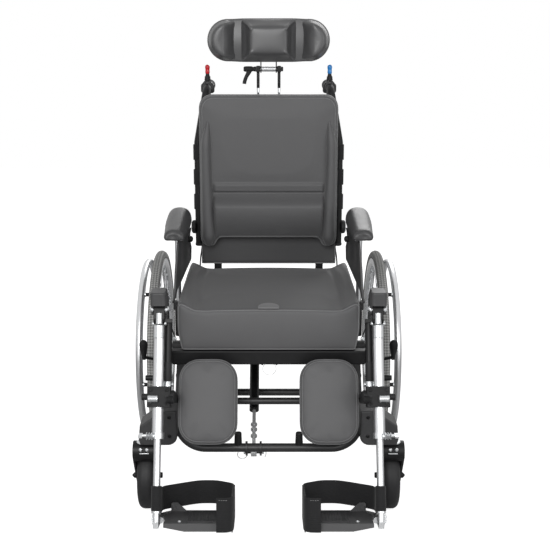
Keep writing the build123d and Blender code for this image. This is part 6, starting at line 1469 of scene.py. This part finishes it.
class WHEELCHAIR_OT_foot_plates(bpy.types.Operator):
    """Build the heel straps and finish the foot plates"""

    bl_idname = "wheelchair.foot_plates"
    bl_label = "Foot plates"

    def execute(self, context):
        paint("moulded_grey_abs", "foot_plate_{side}")
        inner = -160.55
        corners = [(2.8, 12), (2.8, 47.5), (-52, 90), (-80, 108), (-118, 108), (inner, 76), (inner, -48)]
        route = [Vector((*corners[0], 0))]
        for before, corner, after in zip(corners, corners[1:], corners[2:]):
            corner, before, after = Vector(corner), Vector(before), Vector(after)
            reach = min(14, (corner - before).length * 0.45, (after - corner).length * 0.45)
            start = corner + (before - corner).normalized() * reach
            end = corner + (after - corner).normalized() * reach
            for k in range(7):
                t = k / 6
                route.append((start * (1 - t) ** 2 + corner * 2 * t * (1 - t) + end * t**2).to_3d())
        route.append(Vector((*corners[-1], 0)))
        low, high = 8, 63
        path = [foot_point(p.x, p.y, (low + high) / 2) for p in evenly(route, 6)]
        normal = Vector((0, math.sin(FOOT_TILT), math.cos(FOOT_TILT)))
        backward = foot_point(0, 1, 0) - foot_point(0, 0, 0)
        fold = [foot_point(inner, -28, height) for height in (8, -5, -18)]
        pair(
            "heel_strap_webbing", "foot_{side}", "polyester_webbing",
            (sweep, path, rounded_rectangle(2.4, high - low, 1.1, 2), normal),
            (sweep, fold, rounded_rectangle(2.4, 40, 1.1, 2), backward),
            replaced=["heel_strap"],
        )
        wrap = [(-2.2, 60), (-2.6, 0), (-2.6, -36), (-1.6, -50), (3, -60), (11, -65.5), (22, -67), (34, -67)]
        path = [foot_point(p.x, p.y, 25) for p in curve_through([(inner + x, y, 0) for x, y in wrap], 5)]
        band = (sweep, path, rounded_rectangle(2.2, 76, 1.0, 2), normal)
        pair("heel_strap_end", "foot_{side}", "polyester_webbing", band)
        lean = Matrix.Rotation(-FOOT_TILT, 3, "X")
        stitches = []
        for k in range(4):
            stitches += [
                (block, foot_point(inner + 12 + 5 * k, -68.2, 58), (3.2, 0.8, 0.9), 0.3, lean),
                (block, foot_point(inner - 1.5, -24 + 6 * k, 58), (0.8, 3.6, 0.9), 0.3, lean),
            ]
        pair("heel_strap_stitching", "foot_{side}", "bonded_sewing_thread", *stitches)
        pair(
            "foot_plate_pad", "foot_{side}", "coated_cast_aluminium",
            (block, foot_point(-94, 8, 3.6), (66, 100, 2.4), 1.0, lean),
            *[(block, foot_point(-68 - 7.4 * k, 8, 4.8), (2.6, 88, 1.0), 0.4, lean) for k in range(8)],
        )
        screw = (button, foot_point(-44, -36, 3), normal, 4.4, 2.4)
        pair("foot_plate_screws", "foot_{side}", "zinc_plated_steel", screw)
        return {"FINISHED"}


class WHEELCHAIR_OT_gas_springs(bpy.types.Operator):
    """Finish the two gas springs and the tilt spring's clip"""

    bl_idname = "wheelchair.gas_springs"
    bl_label = "Gas springs"

    def execute(self, context):
        paint("silver_lacquered_casting", "tilt_spring_rod")
        paint("hard_chromed_steel", "recline_spring_rod")
        paint("powder_coated_black_steel", "tilt_spring_cylinder", "recline_spring_cylinder")
        foot = Vector((-SPRING_X, SPRING_PIN_Y, SPRING_PIN_Z))
        top = Vector((-SPRING_X, AXLE_Y - 230, 332))
        along = (top - foot).normalized()
        clip = (torus, top - along * 24, along, 12.6, 0.9)
        single("tilt_spring_clip", "tilt_cylinder", "zinc_plated_steel", clip)
        return {"FINISHED"}


class WHEELCHAIR_OT_stage(bpy.types.Operator):
    """Set up the floor, the soft studio light and the camera"""

    bl_idname = "wheelchair.stage"
    bl_label = "Stage"

    def execute(self, context):
        scene = context.scene
        bm = bmesh.new()
        bmesh.ops.create_grid(bm, x_segments=8, y_segments=8, size=6000)
        floor = solid(bm, "studio_floor")
        paper = bpy.data.materials.new("matt_white_paper")
        paper.use_nodes = True
        tree = paper.node_tree
        tree.nodes.clear()
        path = add(tree, "ShaderNodeLightPath")
        fibres = add(tree, "ShaderNodeTexNoise", {"Scale": 400.0, "Detail": 2.0})
        settings = {"data_type": "RGBA", 0: fibres.outputs[0], 6: linear("#e9e9e9"), 7: linear("#efefef")}
        tone = add(tree, "ShaderNodeMix", settings)
        matt = add(tree, "ShaderNodeBsdfDiffuse", {"Color": tone.outputs[2]})
        seen = add(tree, "ShaderNodeMath", {"operation": "MULTIPLY", 0: path.outputs["Is Camera Ray"], 1: 0.85})
        glow = add(tree, "ShaderNodeEmission", {"Color": (1, 1, 1, 1), "Strength": seen.outputs[0]})
        both = add(tree, "ShaderNodeAddShader", {0: matt.outputs[0], 1: glow.outputs[0]})
        add(tree, "ShaderNodeOutputMaterial", {"Surface": both.outputs[0]})
        floor.data.materials.append(paper)

        world = bpy.data.worlds.new("soft_white_room")
        scene.world = world
        world.use_nodes = True
        tree = world.node_tree
        tree.nodes.clear()
        path = add(tree, "ShaderNodeLightPath")
        shown = path.outputs["Is Glossy Ray"]
        for ray in ("Is Transmission Ray", "Is Camera Ray"):
            settings = {"operation": "MAXIMUM", 0: shown, 1: path.outputs[ray]}
            shown = add(tree, "ShaderNodeMath", settings).outputs[0]
        # Seen or mirrored, the room is white; as a light it is dim, so that the lamps shape the forms.
        strength = add(tree, "ShaderNodeMapRange", {"To Min": 0.2, "To Max": 1.0, 0: shown})
        room = add(tree, "ShaderNodeBackground", {"Color": (1, 1, 1, 1), "Strength": strength.outputs[0]})
        add(tree, "ShaderNodeOutputWorld", {"Surface": room.outputs[0]})

        # Each lamp's place in metres, its side in metres and its watts.
        for name, place, size, power in (
            ("key_softbox", (-0.5, -3.2, 1.9), 1.4, 62.0),
            ("fill_softbox", (1.9, -2.4, 1.2), 1.2, 14.0),
            ("rear_softbox", (0.6, 2.6, 2.0), 1.6, 24.0),
        ):
            light = bpy.data.lights.new(name, "AREA")
            light.shape = "SQUARE"
            light.size = size
            light.energy = power
            lamp = new_object(name, light)
            lamp.location = place
            lamp.rotation_euler = (Vector((0, 0, 0.55)) - Vector(place)).to_track_quat("-Z", "Y").to_euler()

        # The camera was fitted to the photograph.
        camera = bpy.data.cameras.new("camera")
        camera.sensor_width = 36.0
        camera.lens = 67.2
        # The object's middle stands a little left of the picture's middle.
        camera.shift_x = (IMAGE_SIDE / 2 - 268.6) / IMAGE_SIDE
        eye = new_object("camera", camera)
        eye.location = (0, -2.58887, 1.14692)
        eye.rotation_euler = (math.radians(90 - 13.532), 0, 0)
        scene.camera = eye
        scene.view_settings.view_transform = "Standard"
        return {"FINISHED"}


class WHEELCHAIR_PT_panel(bpy.types.Panel):
    """Lists the wheelchair's pieces"""

    bl_label = "Wheelchair"
    bl_idname = "WHEELCHAIR_PT_panel"
    bl_space_type = "VIEW_3D"
    bl_region_type = "UI"
    bl_category = "Wheelchair"

    def draw(self, context):
        column = self.layout.column()
        for operator in OPERATORS:
            column.operator(operator.bl_idname)
        for group in (context.scene.wheelchair_cushions, context.scene.wheelchair_levers):
            for name in group.__annotations__:
                column.prop(group, name)


OPERATORS = (
    WHEELCHAIR_OT_stage,
    WHEELCHAIR_OT_release_cables,
    WHEELCHAIR_OT_seat_cushion,
    WHEELCHAIR_OT_back_cushion,
    WHEELCHAIR_OT_sling,
    WHEELCHAIR_OT_head_rest,
    WHEELCHAIR_OT_arm_rests,
    WHEELCHAIR_OT_push_handles,
    WHEELCHAIR_OT_rear_wheels,
    WHEELCHAIR_OT_castors,
    WHEELCHAIR_OT_base_frame,
    WHEELCHAIR_OT_brakes,
    WHEELCHAIR_OT_seat_frame,
    WHEELCHAIR_OT_leg_rests,
    WHEELCHAIR_OT_calf_pads,
    WHEELCHAIR_OT_foot_plates,
    WHEELCHAIR_OT_gas_springs,
)
CLASSES = (CushionSizes, LeverColours, *OPERATORS, WHEELCHAIR_PT_panel)


def register():
    """Registers the classes and the scene's settings."""
    for each in CLASSES:
        bpy.utils.register_class(each)
    bpy.types.Scene.wheelchair_cushions = bpy.props.PointerProperty(type=CushionSizes)
    bpy.types.Scene.wheelchair_levers = bpy.props.PointerProperty(type=LeverColours)


def unregister():
    """Takes them away again."""
    del bpy.types.Scene.wheelchair_levers
    del bpy.types.Scene.wheelchair_cushions
    for each in reversed(CLASSES):
        bpy.utils.unregister_class(each)


def main():
    """Dresses the whole wheelchair."""
    register()
    for operator in OPERATORS:
        group, name = operator.bl_idname.split(".")
        if getattr(getattr(bpy.ops, group), name)() != {"FINISHED"}:
            raise RuntimeError(f"{operator.bl_label} wasn't finished")


if __name__ == "__main__":
    main()
